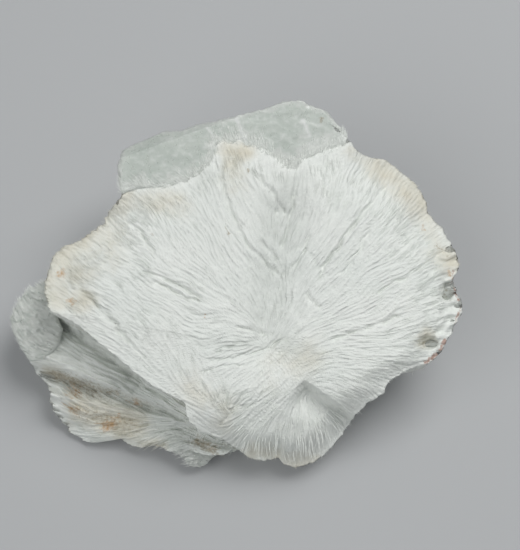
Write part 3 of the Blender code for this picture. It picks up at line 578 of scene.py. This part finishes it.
class Spray:
    """Fibres that fan out from one centre to a ragged rim, on a body that narrows to its base."""

    def __init__(self, centre, rim, roll, base, base_centre, base_height, height, look):
        self.centre, self.roll = centre, roll
        self.base, self.base_centre, self.base_height = base, base_centre, base_height
        self.height = height
        self.seed, columns, self.rag, self.strength, self.hair = look
        self.place = np.arange(columns) / columns
        self.rim_a, self.rim_b, self.length = closed_curve(rim, columns)
        self.angle = np.degrees(np.arctan2(self.rim_b - centre[1], self.rim_a - centre[0]))

    def rings(self, shares, levels):
        """Rings of points out from the start to the rim and down the side, and what goes with them."""
        s = np.array(shares)[:, None]
        start_a, start_b = self.centre
        run_a, run_b = self.rim_a - start_a, self.rim_b - start_b
        size = np.hypot(run_a, run_b)
        rag = 0.0
        for order, (tooth, reach) in enumerate((RAG_COARSE, RAG_FINE)):
            teeth = round(self.length / tooth)
            rag = rag + grain(self.place * teeth, 0.5 + 0 * s, self.seed + 60 + order, teeth) * reach
        ragged = 1 + rag * around(self.rag, self.angle) * fade((s - RAG_START) / (1 - RAG_START)) / size
        a = start_a + run_a * s * ragged
        b = start_b + run_b * s * ragged
        roll = around(self.roll, self.angle) * fade((s - ROLL_START) / (1 - ROLL_START))
        relief = SHEET.at(SHEET.relief, a, b) * self.strength
        relief = relief + SHEET.at(SHEET.strand, a, b) * self.hair
        c = self.height(a, b) - roll + relief
        c = c + grain(a / GRIT_SIZE, b / GRIT_SIZE, 90) * GRIT_HEIGHT
        rolls = grain(a / 1.9, b / 1.3, 91) * MIDDLE_ROLLS
        knots = np.abs(grain(a / 0.8, b / 0.8, 92)) * MIDDLE_KNOTS
        c = c + (rolls + knots) * (1 - fade(s / MIDDLE_REACH))
        if self.height is face_height:
            c = under_slab(a, b, c)
        face = stand(a, b, c)

        u = np.array(levels)[:, None]
        rim = face[-1]
        foot = np.array([self.base_centre[0] + SEAT[0], self.base_centre[1] + SEAT[1]])
        away = rim[:, :2] - foot
        reach = around(self.base, np.degrees(np.arctan2(away[:, 1], away[:, 0])))[:, None]
        base = foot + away * reach
        out = away / np.hypot(*away.T)[:, None]
        side_xy = rim[:, :2] + (base - rim[:, :2]) * u[..., None] ** SIDE_IN
        side_z = self.base_height + (rim[:, 2] - self.base_height) * (1 - u**SIDE_DOWN)
        side = np.concatenate([side_xy, side_z[..., None]], axis=-1)
        bulge = ridges(lambda width, seed: lumps(side, width, seed), down_comb, self.seed + 70)
        side[..., :2] += out * (bulge * SIDE_BUNDLES * np.sin(u * math.pi) ** 0.7)[..., None]
        side[..., :2] += out * (rough(side, SIDE_LUMPS) * fade(u / 0.15) * fade((1 - u) / 0.1))[..., None]
        for point, direction in SIDE_CHIPS:
            normal = facing(*direction)
            normal = normal / np.linalg.norm(normal)
            over = (side - stand(*(np.array(x) for x in point))) @ normal
            over = np.maximum(over + rough(side, CHIP_LUMPS), 0)
            side = side - (over * fade(u / 0.2))[..., None] * normal
        side[..., 2] = np.maximum(side[..., 2], self.base_height)
        return np.concatenate([face, side]), relief

    def middle(self):
        """Points at the centre of the face, deep in the mass and at the middle of the base."""
        a, b = (np.array(x) for x in self.centre)
        foot = (self.base_centre[0] + SEAT[0], self.base_centre[1] + SEAT[1], self.base_height)
        return stand(a, b, self.height(a, b)), stand(a, b, np.array(CORE_DEPTH)), np.array(foot)


def placed(name, data):
    """A new object of the scene with this mesh, light or camera."""
    made = bpy.data.objects.new(name, data)
    bpy.context.scene.collection.objects.link(made)
    return made


def skin(name, points, tips):
    """A closed mesh in metres from rings of points that run outwards and then down, with two tips."""
    count = points.shape[1]
    corner = np.arange(points.shape[0] * count).reshape(points.shape[:2])
    ahead = np.roll(corner, -1, axis=1)
    quads = np.stack([corner[1:], ahead[1:], ahead[:-1], corner[:-1]], axis=-1).reshape(-1, 4)
    first = np.stack([corner[0], ahead[0], np.full(count, corner.size)], axis=-1)
    last = np.stack([ahead[-1], corner[-1], np.full(count, corner.size + 1)], axis=-1)
    mesh = bpy.data.meshes.new(name)
    everything = np.concatenate([points.reshape(-1, 3), np.array(tips)]) * MM
    mesh.from_pydata(everything.tolist(), [], quads.tolist() + first.tolist() + last.tolist())
    mesh.polygons.foreach_set("use_smooth", np.ones(len(mesh.polygons), bool))
    return placed(name, mesh)


def keep(mesh, name, values):
    """Keeps a number or a vector for each point of the mesh as an attribute."""
    values = np.asarray(values, np.float32)
    vector = values.ndim == 2
    layer = mesh.attributes.new(name, "FLOAT_VECTOR" if vector else "FLOAT", "POINT")
    layer.data.foreach_set("vector" if vector else "value", values.ravel())


def fibre_run(a, b, outwards):
    """The direction of the fibres at points of the face, the way round that outwards points."""
    run = np.moveaxis(facing(SHEET.at(SHEET.run_a, a, b), SHEET.at(SHEET.run_b, a, b), 0), 0, -1)
    return run * np.where(np.sum(run * outwards, axis=-1) < 0, -1, 1)[..., None]


def fibrous(name, points, tips, shares, levels, relief, finish):
    """A closed skin of a spray that knows its fibres' run, its stains and the painted shade of its hollows.
    """
    made = skin(name, points, tips)
    mesh = made.data
    out, down = np.array(shares)[:, None], np.array(levels)[:, None]
    on_side = fade(down / 0.1)
    along = np.gradient(points, axis=0)
    along = along / np.maximum(np.linalg.norm(along, axis=-1, keepdims=True), 1e-9)
    a, b, _ = in_face(points)
    run = fibre_run(a, b, along)
    along = run + (along - run) * on_side[..., None]
    keep(mesh, "along", np.concatenate([along.reshape(-1, 3), np.zeros((2, 3))]))
    strand = SHEET.at(SHEET.strand, a, b) * (1 - on_side)
    strand = strand + down_comb(lumps(points, 0.5, 66), 3.0) * on_side
    # This field for the hollows is painted shade, strongest where the relief is lowest, in the grooves.
    fields = {"strand": strand, "hollow_shade": fade(-0.15 - relief * 4.0)}
    for kind, mask in stains(a, b).items():
        fields[kind] = mask * (1 - fade(down / 0.35))
    for field, values in fields.items():
        keep(mesh, field, np.append(values.ravel(), (0, 0)))
    for field, values in (("share", out), ("side", down)):
        keep(mesh, field, np.append(np.broadcast_to(values, points.shape[:2]).ravel(), (0, 1)))
    mesh.materials.append(finish)
    return made


def spray_pieces(names, spray, shares, levels, finish):
    """A spray as two closed pieces that share the rim: the face, and the side with the base."""
    points, relief = spray.rings(shares, levels)
    start, core, foot = spray.middle()
    rows = len(shares)
    rim = points[rows - 1 : rows]
    tucked = rim + (core - rim) * TUCK
    relief = relief / spray.strength
    face = fibrous(
        names[0], np.concatenate([points[:rows], tucked]), (start, core),
        np.append(shares, 1), np.zeros(rows + 1), np.concatenate([relief, relief[-1:]]), finish,
    )
    side_points = np.concatenate([tucked, rim, points[rows:]])
    side_levels = np.concatenate([[0, 0], levels])
    side = fibrous(
        names[1], side_points, (core, foot), np.ones(len(side_levels)), side_levels,
        np.repeat(relief[-1:], len(side_levels), 0), finish,
    )
    return face, side


def add(tree, kind, given=(), result=0, **settings):
    """A new node with these settings and inputs, as values or sockets; returns one of its outputs."""
    node = tree.nodes.new(kind)
    for name, value in settings.items():
        setattr(node, name, value)
    for name, value in dict(given).items():
        if isinstance(value, bpy.types.NodeSocket):
            tree.links.new(value, node.inputs[name])
        else:
            node.inputs[name].default_value = value
    return node.outputs[result]


def attribute(tree, name):
    """An attribute of the mesh."""
    return add(tree, "ShaderNodeAttribute", result="Fac", attribute_name=name)


def math_node(tree, operation, *values):
    """A sum or product of values."""
    return add(tree, "ShaderNodeMath", enumerate(values), operation=operation)


def mix_node(tree, factor, first, second):
    """A mix of two colours."""
    first, second = ((*c, 1.0) if isinstance(c, tuple) else c for c in (first, second))
    return add(tree, "ShaderNodeMix", ((0, factor), (6, first), (7, second)), 2, data_type="RGBA")


def noise_node(tree, vector, scale, detail=3.0, rough=0.55, distort=0.0):
    """Noise on these coordinates."""
    given = {"Vector": vector, "Scale": scale, "Detail": detail, "Roughness": rough, "Distortion": distort}
    return add(tree, "ShaderNodeTexNoise", given, "Fac")


def ramp(tree, value, low, high):
    """Maps a value so that low gives 0 and high gives 1, without going past them."""
    given = {"Value": value, "From Min": low, "From Max": high}
    return add(tree, "ShaderNodeMapRange", given, "Result")


def bump(tree, height, distance, strength):
    """Bump from a height over a distance in mm, on the tree's shader."""
    given = {"Distance": distance * MM, "Strength": strength, "Height": height}
    normal = add(tree, "ShaderNodeBump", given, "Normal")
    tree.links.new(normal, tree.nodes["Principled BSDF"].inputs["Normal"])


def shader_group(name, inputs, outputs):
    """An empty shader group with these sockets; returns it with its two end nodes."""
    group = bpy.data.node_groups.new(name, "ShaderNodeTree")
    for label, kind, value in inputs:
        socket = group.interface.new_socket(label, in_out="INPUT", socket_type=kind)
        if value is not None:
            socket.default_value = value
    for label, kind in outputs:
        group.interface.new_socket(label, in_out="OUTPUT", socket_type=kind)
    return group, group.nodes.new("NodeGroupInput"), group.nodes.new("NodeGroupOutput")


def fibre_grain_group():
    """Fine strands along the fibres: Strand and Position in, a height and a painted shade out, darker where
    the strands are low.
    """
    group, given, result = shader_group(
        "fibre grain",
        (("Strand", "NodeSocketFloat", 0.0), ("Position", "NodeSocketVector", None)),
        (("Height", "NodeSocketFloat"), ("Painted shade", "NodeSocketFloat")),
    )
    fluff = noise_node(group, given.outputs["Position"], 2400.0, 3.0, 0.65)
    fine = math_node(group, "MULTIPLY", fluff, 0.8)
    height = math_node(group, "ADD", given.outputs["Strand"], fine)
    group.links.new(height, result.inputs["Height"])
    # Painted shade: the lower the strands, the darker.
    group.links.new(ramp(group, height, 0.75, -0.05), result.inputs["Painted shade"])
    return group


def stain_group():
    """A stain broken up into grains: Mask and Position in, Amount out."""
    group, given, result = shader_group(
        "stain",
        (
            ("Mask", "NodeSocketFloat", 0.0), ("Position", "NodeSocketVector", None),
            ("Scale", "NodeSocketFloat", 900.0), ("Softness", "NodeSocketFloat", 0.1),
        ),
        (("Amount", "NodeSocketFloat"),),
    )
    patch = noise_node(group, given.outputs["Position"], given.outputs["Scale"], 4.0, 0.65)
    pushed = math_node(group, "MULTIPLY", given.outputs["Mask"], STAIN_PUSH)
    low = math_node(group, "SUBTRACT", STAIN_EDGE, given.outputs["Softness"])
    high = math_node(group, "ADD", STAIN_EDGE, given.outputs["Softness"])
    amount = ramp(group, math_node(group, "ADD", pushed, patch), low, high)
    near = ramp(group, given.outputs["Mask"], 0.0, 0.25)
    group.links.new(math_node(group, "MULTIPLY", amount, near), result.inputs["Amount"])
    return group


def place_group(tree, group, **given):
    """A group in a material's tree, with its inputs set or linked."""
    return add(tree, "ShaderNodeGroup", given, node_tree=GROUPS[group]).node


def laumontite_finish(name):
    """White silky fibres with cream, brown, rust and brick-red stains, a greyish stain that is partly
    painted shade, and painted shade in the grooves and low strands.
    """
    made = bpy.data.materials.new(name)
    made.use_nodes = True
    tree = made.node_tree
    shader = tree.nodes["Principled BSDF"]
    position = tree.nodes.new("ShaderNodeTexCoord").outputs["Object"]
    strands = place_group(
        tree, "fibre grain", Strand=attribute(tree, "strand"), Position=position,
    )
    cloud = noise_node(tree, position, 90.0, 3.0, 0.5)
    colour = mix_node(tree, ramp(tree, cloud, 0.35, 0.7), WHITE, WHITE_COOL)
    # Painted shade in the low parts of the strands.
    strand_shade = math_node(tree, "MULTIPLY", strands.outputs["Painted shade"], 0.45)
    colour = mix_node(tree, strand_shade, colour, WHITE_SHADE)
    # Painted shade in the grooves of the relief.
    hollow_shade = math_node(tree, "MULTIPLY", attribute(tree, "hollow_shade"), 0.5)
    colour = mix_node(tree, hollow_shade, colour, GROOVE_SHADE)
    side = ramp(tree, attribute(tree, "side"), 0.02, 0.3)
    patches = ramp(tree, noise_node(tree, position, 120.0, 5.0, 0.6), 0.4, 0.62)
    weathered = math_node(tree, "MULTIPLY", math_node(tree, "MULTIPLY", side, patches), 0.6)
    colour = mix_node(tree, weathered, colour, CREAM_COLOUR)
    # Stains; the greyish one is partly painted shade.
    for mask, scale, softness, strength, stain in (
        ("grey_and_shade", 200.0, 0.3, 1.0, GREY_AND_SHADE_COLOUR), ("cream", 140.0, 0.35, 1.0, CREAM_COLOUR),
        ("brown", 1700.0, 0.12, 0.7, BROWN_COLOUR), ("rust", 1200.0, 0.14, 0.8, RUST_COLOUR),
        ("brick", 1500.0, 0.1, 0.75, BRICK_COLOUR),
    ):
        amount = place_group(
            tree, "stain", Mask=attribute(tree, mask), Position=position,
            Scale=scale, Softness=softness,
        )
        amount = math_node(tree, "MULTIPLY", amount.outputs["Amount"], strength)
        colour = mix_node(tree, amount, colour, stain)
    tree.links.new(colour, shader.inputs["Base Color"])
    shader.inputs["Roughness"].default_value = 0.78
    shader.inputs["Specular IOR Level"].default_value = 0.22
    bump(tree, strands.outputs["Height"], 0.16, 0.8)
    return made


def glassy_finish(name, clear, milk):
    """Pale green crystal: see-through, with milky clouds, white veils and veins, a white film and brown
    stains.
    """
    made = bpy.data.materials.new(name)
    made.use_nodes = True
    tree = made.node_tree
    shader = tree.nodes["Principled BSDF"]
    position = tree.nodes.new("ShaderNodeTexCoord").outputs["Object"]
    cloud = noise_node(tree, position, 170.0, 6.0, 0.68, 0.9)
    fine = noise_node(tree, position, 700.0, 5.0, 0.65, 0.5)
    colour = mix_node(tree, ramp(tree, cloud, 0.38, 0.66), GLASS_GREEN, GLASS_MILK)
    milky = math_node(tree, "MULTIPLY", ramp(tree, fine, 0.5, 0.68), milk)
    colour = mix_node(tree, milky, colour, GLASS_VEIL)
    film = math_node(tree, "MULTIPLY", attribute(tree, "film"), 0.85)
    colour = mix_node(tree, film, colour, WHITE)
    colour = mix_node(tree, attribute(tree, "vein"), colour, GLASS_VEIL)
    stain = place_group(
        tree, "stain", Mask=attribute(tree, "brown"), Position=position,
        Scale=1100.0,
    )
    tan = math_node(tree, "MULTIPLY", stain.outputs["Amount"], 0.8)
    colour = mix_node(tree, tan, colour, BROWN_COLOUR)
    tree.links.new(colour, shader.inputs["Base Color"])
    rough = math_node(tree, "ADD", math_node(tree, "MULTIPLY", ramp(tree, fine, 0.3, 0.7), 0.25), 0.22)
    tree.links.new(rough, shader.inputs["Roughness"])
    shader.inputs["IOR"].default_value = 1.535
    shader.inputs["Transmission Weight"].default_value = clear
    bump(tree, noise_node(tree, position, 1300.0, 3.0, 0.55), 0.08, 0.15)
    absorb = tree.nodes.new("ShaderNodeVolumeAbsorption")
    absorb.inputs["Color"].default_value = (0.70, 0.82, 0.73, 1.0)
    absorb.inputs["Density"].default_value = 25.0
    tree.links.new(absorb.outputs["Volume"], tree.nodes["Material Output"].inputs["Volume"])
    return made


def nearest(a, b, lines):
    """Distance from the nearest of several lines."""
    away = np.full(a.shape, 1e9)
    for start, end in lines:
        away = np.minimum(away, from_line(a, b, (start, end)))
    return away


def even_copy(node, voxel):
    """A copy of a node's solid with an even fine mesh."""
    bm = bmesh.new()
    bm.from_mesh(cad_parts[node].data)
    bmesh.ops.remove_doubles(bm, verts=bm.verts, dist=0.00001)
    mesh = bpy.data.meshes.new(node + "_crystal")
    bm.to_mesh(mesh)
    bm.free()
    made = placed(node + "_crystal", mesh)
    remesh = made.modifiers.new("even", "REMESH")
    remesh.mode = "VOXEL"
    remesh.voxel_size = voxel * MM
    return plainly(made)


def plainly(made):
    """The object with its modifier taken into a plain mesh."""
    graph = bpy.context.evaluated_depsgraph_get()
    evaluated = made.evaluated_get(graph)
    plain = bpy.data.meshes.new_from_object(evaluated, preserve_all_data_layers=True, depsgraph=graph)
    made.modifiers.clear()
    made.data = plain
    return made


def read_vectors(source, name, count):
    """Vectors of a mesh's points or normals as rows of numbers."""
    values = np.empty(count * 3, np.float32)
    source.foreach_get(name, values)
    return values.reshape(-1, 3).astype(float)


def glassy_piece(node, voxel, finish, steps):
    """A cleaved crystal: the node's shape with stepped cleavage, hackly edges and striated sides."""
    made = even_copy(node, voxel)
    even = made.data
    count = len(even.vertices)
    p, n = read_vectors(even.vertices, "co", count) / MM, read_vectors(even.vertex_normals, "vector", count)
    a, b, c = in_face(p)
    up = n @ facing(0, 0, 1)
    strand = SHEET.at(SHEET.strand, a, b)
    from_rim = np.abs(within(a, b, SLAB_RIM))
    if node == SLAB:
        c = c + np.maximum(SLAB_TOP - SLAB_BEVEL - c, 0) * fade((up - 0.25) / 0.3)
        p = stand(a, b, c)
    terrace = fade((grain(a / 5.0, b / 2.6, 51) - 0.02) / 0.06)
    terrace = terrace + 0.6 * fade((grain(a / 2.2, b / 1.4, 52) - 0.1) / 0.08)
    striae = grain(a / 0.7 + b / 0.9, c / 9.0, 53)
    rim = fade(1 - from_rim / 1.1) * (node == SLAB)
    move = rim * (lumps(p, 0.9, 56) * 0.22 - 0.05) - terrace * steps * fade((up - 0.6) / 0.3)
    move = move + striae * 0.07 * (1 - np.abs(up))
    move = move + rough(p, HACKLE_LUMPS) * 0.16 * (1 - fade((up - 0.7) / 0.2) * 0.75)
    if node != SLAB:
        bundle = strand * 0.22 + SHEET.at(SHEET.relief, a, b) * 2.2
        move = move + (bundle - np.abs(lumps(p, 1.5, 67)) * 0.35) * fade((up - 0.1) / 0.5)
    p = p + n * move[:, None]
    even.vertices.foreach_set("co", (p * MM).ravel().astype(np.float32))

    vein = np.zeros(count)
    for start, end, reach in VEINS:
        away = from_line(a + grain(a, b, 57) * 0.25, b, (start, end))
        vein = np.maximum(vein, np.exp(-((away / reach) ** 2)))
    if node == SLAB:
        seam = nearest(a, b, zip(SLAB_SEAM, SLAB_SEAM[1:]))
        soft = 2.2 + 2.4 * fade((a - 1.0) / 5.0)
        film = fade(1.3 - (seam + grain(a / 1.6, b / 1.6, 58) * 1.9) / soft)
        film = np.maximum(film, 0.75 * fade(1.3 - (from_rim + lumps(p, 0.9, 59) * 0.7) / 0.9))
        feather = fade(1.5 - (seam + grain(a / 2.4, b / 2.4, 64) * 1.8) / 2.2)
    else:
        lace = np.abs(strand) + np.abs(lumps(p, 1.6, 60)) * 0.9
        film = 0.9 * fade(lace * 1.1 - 0.12 + fade((a + 49.0) / 8.0) * 0.4)
        feather = film
    run = fibre_run(a, b, np.moveaxis(facing(a, b, 0), 0, -1))
    for name, values in (
        ("vein", vein * fade((up - 0.3) / 0.3)), ("brown", stains(a, b)["brown"]), ("film", film),
        ("along", run - n * np.sum(run * n, axis=-1, keepdims=True)),
        ("feather", feather * fade((up - 0.2) / 0.4)), ("side", np.zeros(count)),
    ):
        keep(even, name, values)
    even.materials.clear()
    even.materials.append(finish)
    even.polygons.foreach_set("use_smooth", np.ones(len(even.polygons), bool))
    even.update()
    return made


def needle_tree():
    """A geometry tree that lays needles on a mesh along its 'along' attribute."""
    tree = bpy.data.node_groups.new("lay needles", "GeometryNodeTree")
    tree.interface.new_socket("Geometry", in_out="OUTPUT", socket_type="NodeSocketGeometry")
    for label, kind in (
        ("Geometry", "Geometry"), ("Density", "Float"), ("Length", "Float"), ("Width", "Float"),
        ("Lift", "Float"), ("Spread", "Float"), ("Seed", "Int"), ("Finish", "Material"),
    ):
        tree.interface.new_socket(label, in_out="INPUT", socket_type="NodeSocket" + kind)
    given = tree.nodes.new("NodeGroupInput").outputs

    def named(name, kind):
        return add(tree, "GeometryNodeInputNamedAttribute", {"Name": name}, "Attribute", data_type=kind)

    def vector(operation, first, second):
        second_input = "Scale" if operation == "SCALE" else 1
        return add(tree, "ShaderNodeVectorMath", ((0, first), (second_input, second)), operation=operation)

    def random(low, high, salt):
        seed = math_node(tree, "ADD", given["Seed"], salt)
        if isinstance(low, tuple):
            bounds = ((0, low), (1, high), ("Seed", seed))
            return add(tree, "FunctionNodeRandomValue", bounds, 0, data_type="FLOAT_VECTOR")
        return add(tree, "FunctionNodeRandomValue", ((2, low), (3, high), ("Seed", seed)), 1)

    density = math_node(tree, "MULTIPLY", named("needles", "FLOAT"), given["Density"])
    sown = {"Mesh": given["Geometry"], "Density": density, "Seed": given["Seed"]}
    points = add(tree, "GeometryNodeDistributePointsOnFaces", sown).node.outputs
    lifted = vector("SCALE", points["Normal"], given["Lift"])
    stray = vector("SCALE", random((-1, -1, -1), (1, 1, 1), 1), given["Spread"])
    heading = vector("ADD", vector("ADD", named("along", "FLOAT_VECTOR"), lifted), stray)
    turn = "FunctionNodeAlignRotationToVector"
    up = add(tree, turn, {"Vector": heading}, axis="Z")
    flat = add(tree, turn, {"Rotation": up, "Vector": points["Normal"]}, axis="X", pivot_axis="Z")
    wide = math_node(tree, "MULTIPLY", given["Width"], random(0.5, 1.3, 2))
    thin = math_node(tree, "MULTIPLY", wide, 0.55)
    long = math_node(tree, "MULTIPLY", given["Length"], random(0.4, 1.3, 3))
    size = add(tree, "ShaderNodeCombineXYZ", {"X": thin, "Y": wide, "Z": long})
    shape = {"Vertices": 4, "Side Segments": 1, "Radius Top": 0.12, "Radius Bottom": 0.5, "Depth": 1.0}
    needle = add(tree, "GeometryNodeMeshCone", shape)
    laid = {"Points": points["Points"], "Instance": needle, "Rotation": flat, "Scale": size}
    copies = add(tree, "GeometryNodeInstanceOnPoints", laid)
    real = add(tree, "GeometryNodeRealizeInstances", {"Geometry": copies})
    painted = add(tree, "GeometryNodeSetMaterial", {"Geometry": real, "Material": given["Finish"]})
    tree.links.new(painted, tree.nodes.new("NodeGroupOutput").inputs["Geometry"])
    return tree


def needles_piece(name, ground, where, finish):
    """Needles laid on a piece, as one plain mesh; where gives their share of density by point."""
    density, length, width, lift, spread, seed = NEEDLES[name]
    holder = placed(name, ground.data.copy())
    keep(holder.data, "needles", where)
    growth = holder.modifiers.new("needles", "NODES")
    growth.node_group = TREES["needles"]
    given = {
        "Density": density, "Length": length * MM, "Width": width * MM, "Lift": lift,
        "Spread": spread, "Seed": seed, "Finish": finish,
    }
    for item in TREES["needles"].interface.items_tree:
        if item.in_out == "INPUT" and item.name in given:
            growth[item.identifier] = given[item.name]
    return plainly(holder)


def read(mesh, name):
    """An attribute of a mesh as numbers."""
    values = np.empty(len(mesh.vertices), np.float32)
    mesh.attributes[name].data.foreach_get("value", values)
    return values


def dress(piece, node):
    """Puts a finished piece in place of the node whose look it gives."""
    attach(piece, "root")
    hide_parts(node)


SHEET = FibreSheet()
GROUPS = {"fibre grain": fibre_grain_group(), "stain": stain_group()}
TREES = {"needles": needle_tree()}
white = laumontite_finish("laumontite fibres")
glass = glassy_finish("fluorapophyllite crystal", 0.28, 0.5)
dark_glass = glassy_finish("fluorapophyllite clear", 0.4, 0.3)

upper = Spray(
    (0.0, 0.0), UPPER_RIM, UPPER_ROLL, UPPER_BASE, UPPER_BASE_CENTRE, 0.0, face_height, UPPER_LOOK
)
lower = Spray(
    LOWER_CENTRE, LOWER_RIM, LOWER_ROLL, LOWER_BASE, LOWER_BASE_CENTRE, LOWER_BASE_HEIGHT,
    shelf_height, LOWER_LOOK,
)
face_shares = np.append(0.004, np.linspace(0, 1, 99)[1:])
face, side = spray_pieces(
    ("upper_face", "upper_side"), upper, face_shares, np.linspace(0.02, 1, 44), white
)
shelf, shelf_side = spray_pieces(
    ("lower_face", "lower_side"), lower, np.linspace(0.02, 1, 90), np.linspace(0.04, 1, 22), white
)
for piece in (face, side, shelf, shelf_side):
    dress(piece, "laumontite")

for node, voxel, finish, steps in (
    (SLAB, 0.3, glass, 0.07),
    ("fluorapophyllite_corner", 0.25, dark_glass, 0.16),
    ("fluorapophyllite_foot", 0.22, dark_glass, 0.12),
):
    crystal = glassy_piece(node, voxel, finish, steps)
    dress(crystal, node)
    name = node.replace("fluorapophyllite", "feathers")
    fibres = needles_piece(name, crystal, read(crystal.data, "feather"), white)
    dress(fibres, "laumontite")

share = read(face.data, "share")
a, b, _ = in_face(np.array([v.co for v in face.data.vertices]) / MM)
clear_of_slab = within(a, b, SLAB_RIM) < -FACE_CLEAR
strands = needles_piece("face_fibres", face, (share < NEEDLES_OUT) * clear_of_slab, white)
furry = np.interp(np.degrees(np.arctan2(b, a)) % 360, *zip(*FUR))
fringe = needles_piece("edge_fibres", face, furry * fade((share - 0.95) / 0.05) * clear_of_slab, white)
share = read(shelf.data, "share")
covered = fade((share - 0.1) / 0.3) * (share < NEEDLES_OUT)
shelf_strands = needles_piece("shelf_fibres", shelf, covered, white)
level = read(side.data, "side")
place = np.array([v.co for v in side.data.vertices]) / MM
open_side = fade((level - 0.08) / 0.1) * fade((place[:, 2] - TABLE_CLEAR) / 2.0)
for node in ("fluorapophyllite_corner", "fluorapophyllite_foot"):
    low, high = (np.array(corner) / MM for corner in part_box(node))
    near = np.all((place > low - CRYSTAL_CLEAR) & (place < high + CRYSTAL_CLEAR), axis=1)
    open_side = open_side * ~near
a, b, _ = in_face(place)
open_side = open_side * (within(a, b, SLAB_RIM) < -SIDE_CLEAR)
side_strands = needles_piece("side_fibres", side, open_side, white)
for piece in (strands, fringe, shelf_strands, side_strands):
    dress(piece, "laumontite")

reach = FLOOR_REACH
floor_mesh = bpy.data.meshes.new("floor")
corners = [(-reach, -reach, 0), (reach, -reach, 0), (reach, reach, 0), (-reach, reach, 0)]
floor_mesh.from_pydata(corners, [], [(0, 1, 2, 3)])
floor = placed("floor", floor_mesh)
paper = bpy.data.materials.new("floor")
paper.use_nodes = True
paper.node_tree.nodes["Principled BSDF"].inputs["Base Color"].default_value = FLOOR_COLOUR
paper.node_tree.nodes["Principled BSDF"].inputs["Roughness"].default_value = 0.9
floor_mesh.materials.append(paper)

for name, place, size, power in LIGHTS:
    light = bpy.data.lights.new(name, "AREA")
    light.size = size
    light.energy = power
    holder = placed(name, light)
    holder.location = place
    towards = Vector((0.0, 0.0, 0.02)) - Vector(place)
    holder.rotation_euler = towards.to_track_quat("-Z", "Y").to_euler()
world = bpy.data.worlds.new("studio")
bpy.context.scene.world = world
world.use_nodes = True
world.node_tree.nodes["Background"].inputs["Color"].default_value = SKY_COLOUR
world.node_tree.nodes["Background"].inputs["Strength"].default_value = SKY_STRENGTH
bpy.context.scene.view_settings.view_transform = "Standard"

camera = placed("camera", bpy.data.cameras.new("camera"))
camera.data.lens = LENS
camera.data.sensor_width = SENSOR
aim = Vector(stand(*EYE_OVER, 0.0)) * MM
camera.location = aim + Vector(facing(0, 0, 1)) * EYE_HEIGHT * MM
camera.rotation_euler = (aim - camera.location).to_track_quat("-Z", "Y").to_euler()
bpy.context.scene.camera = camera
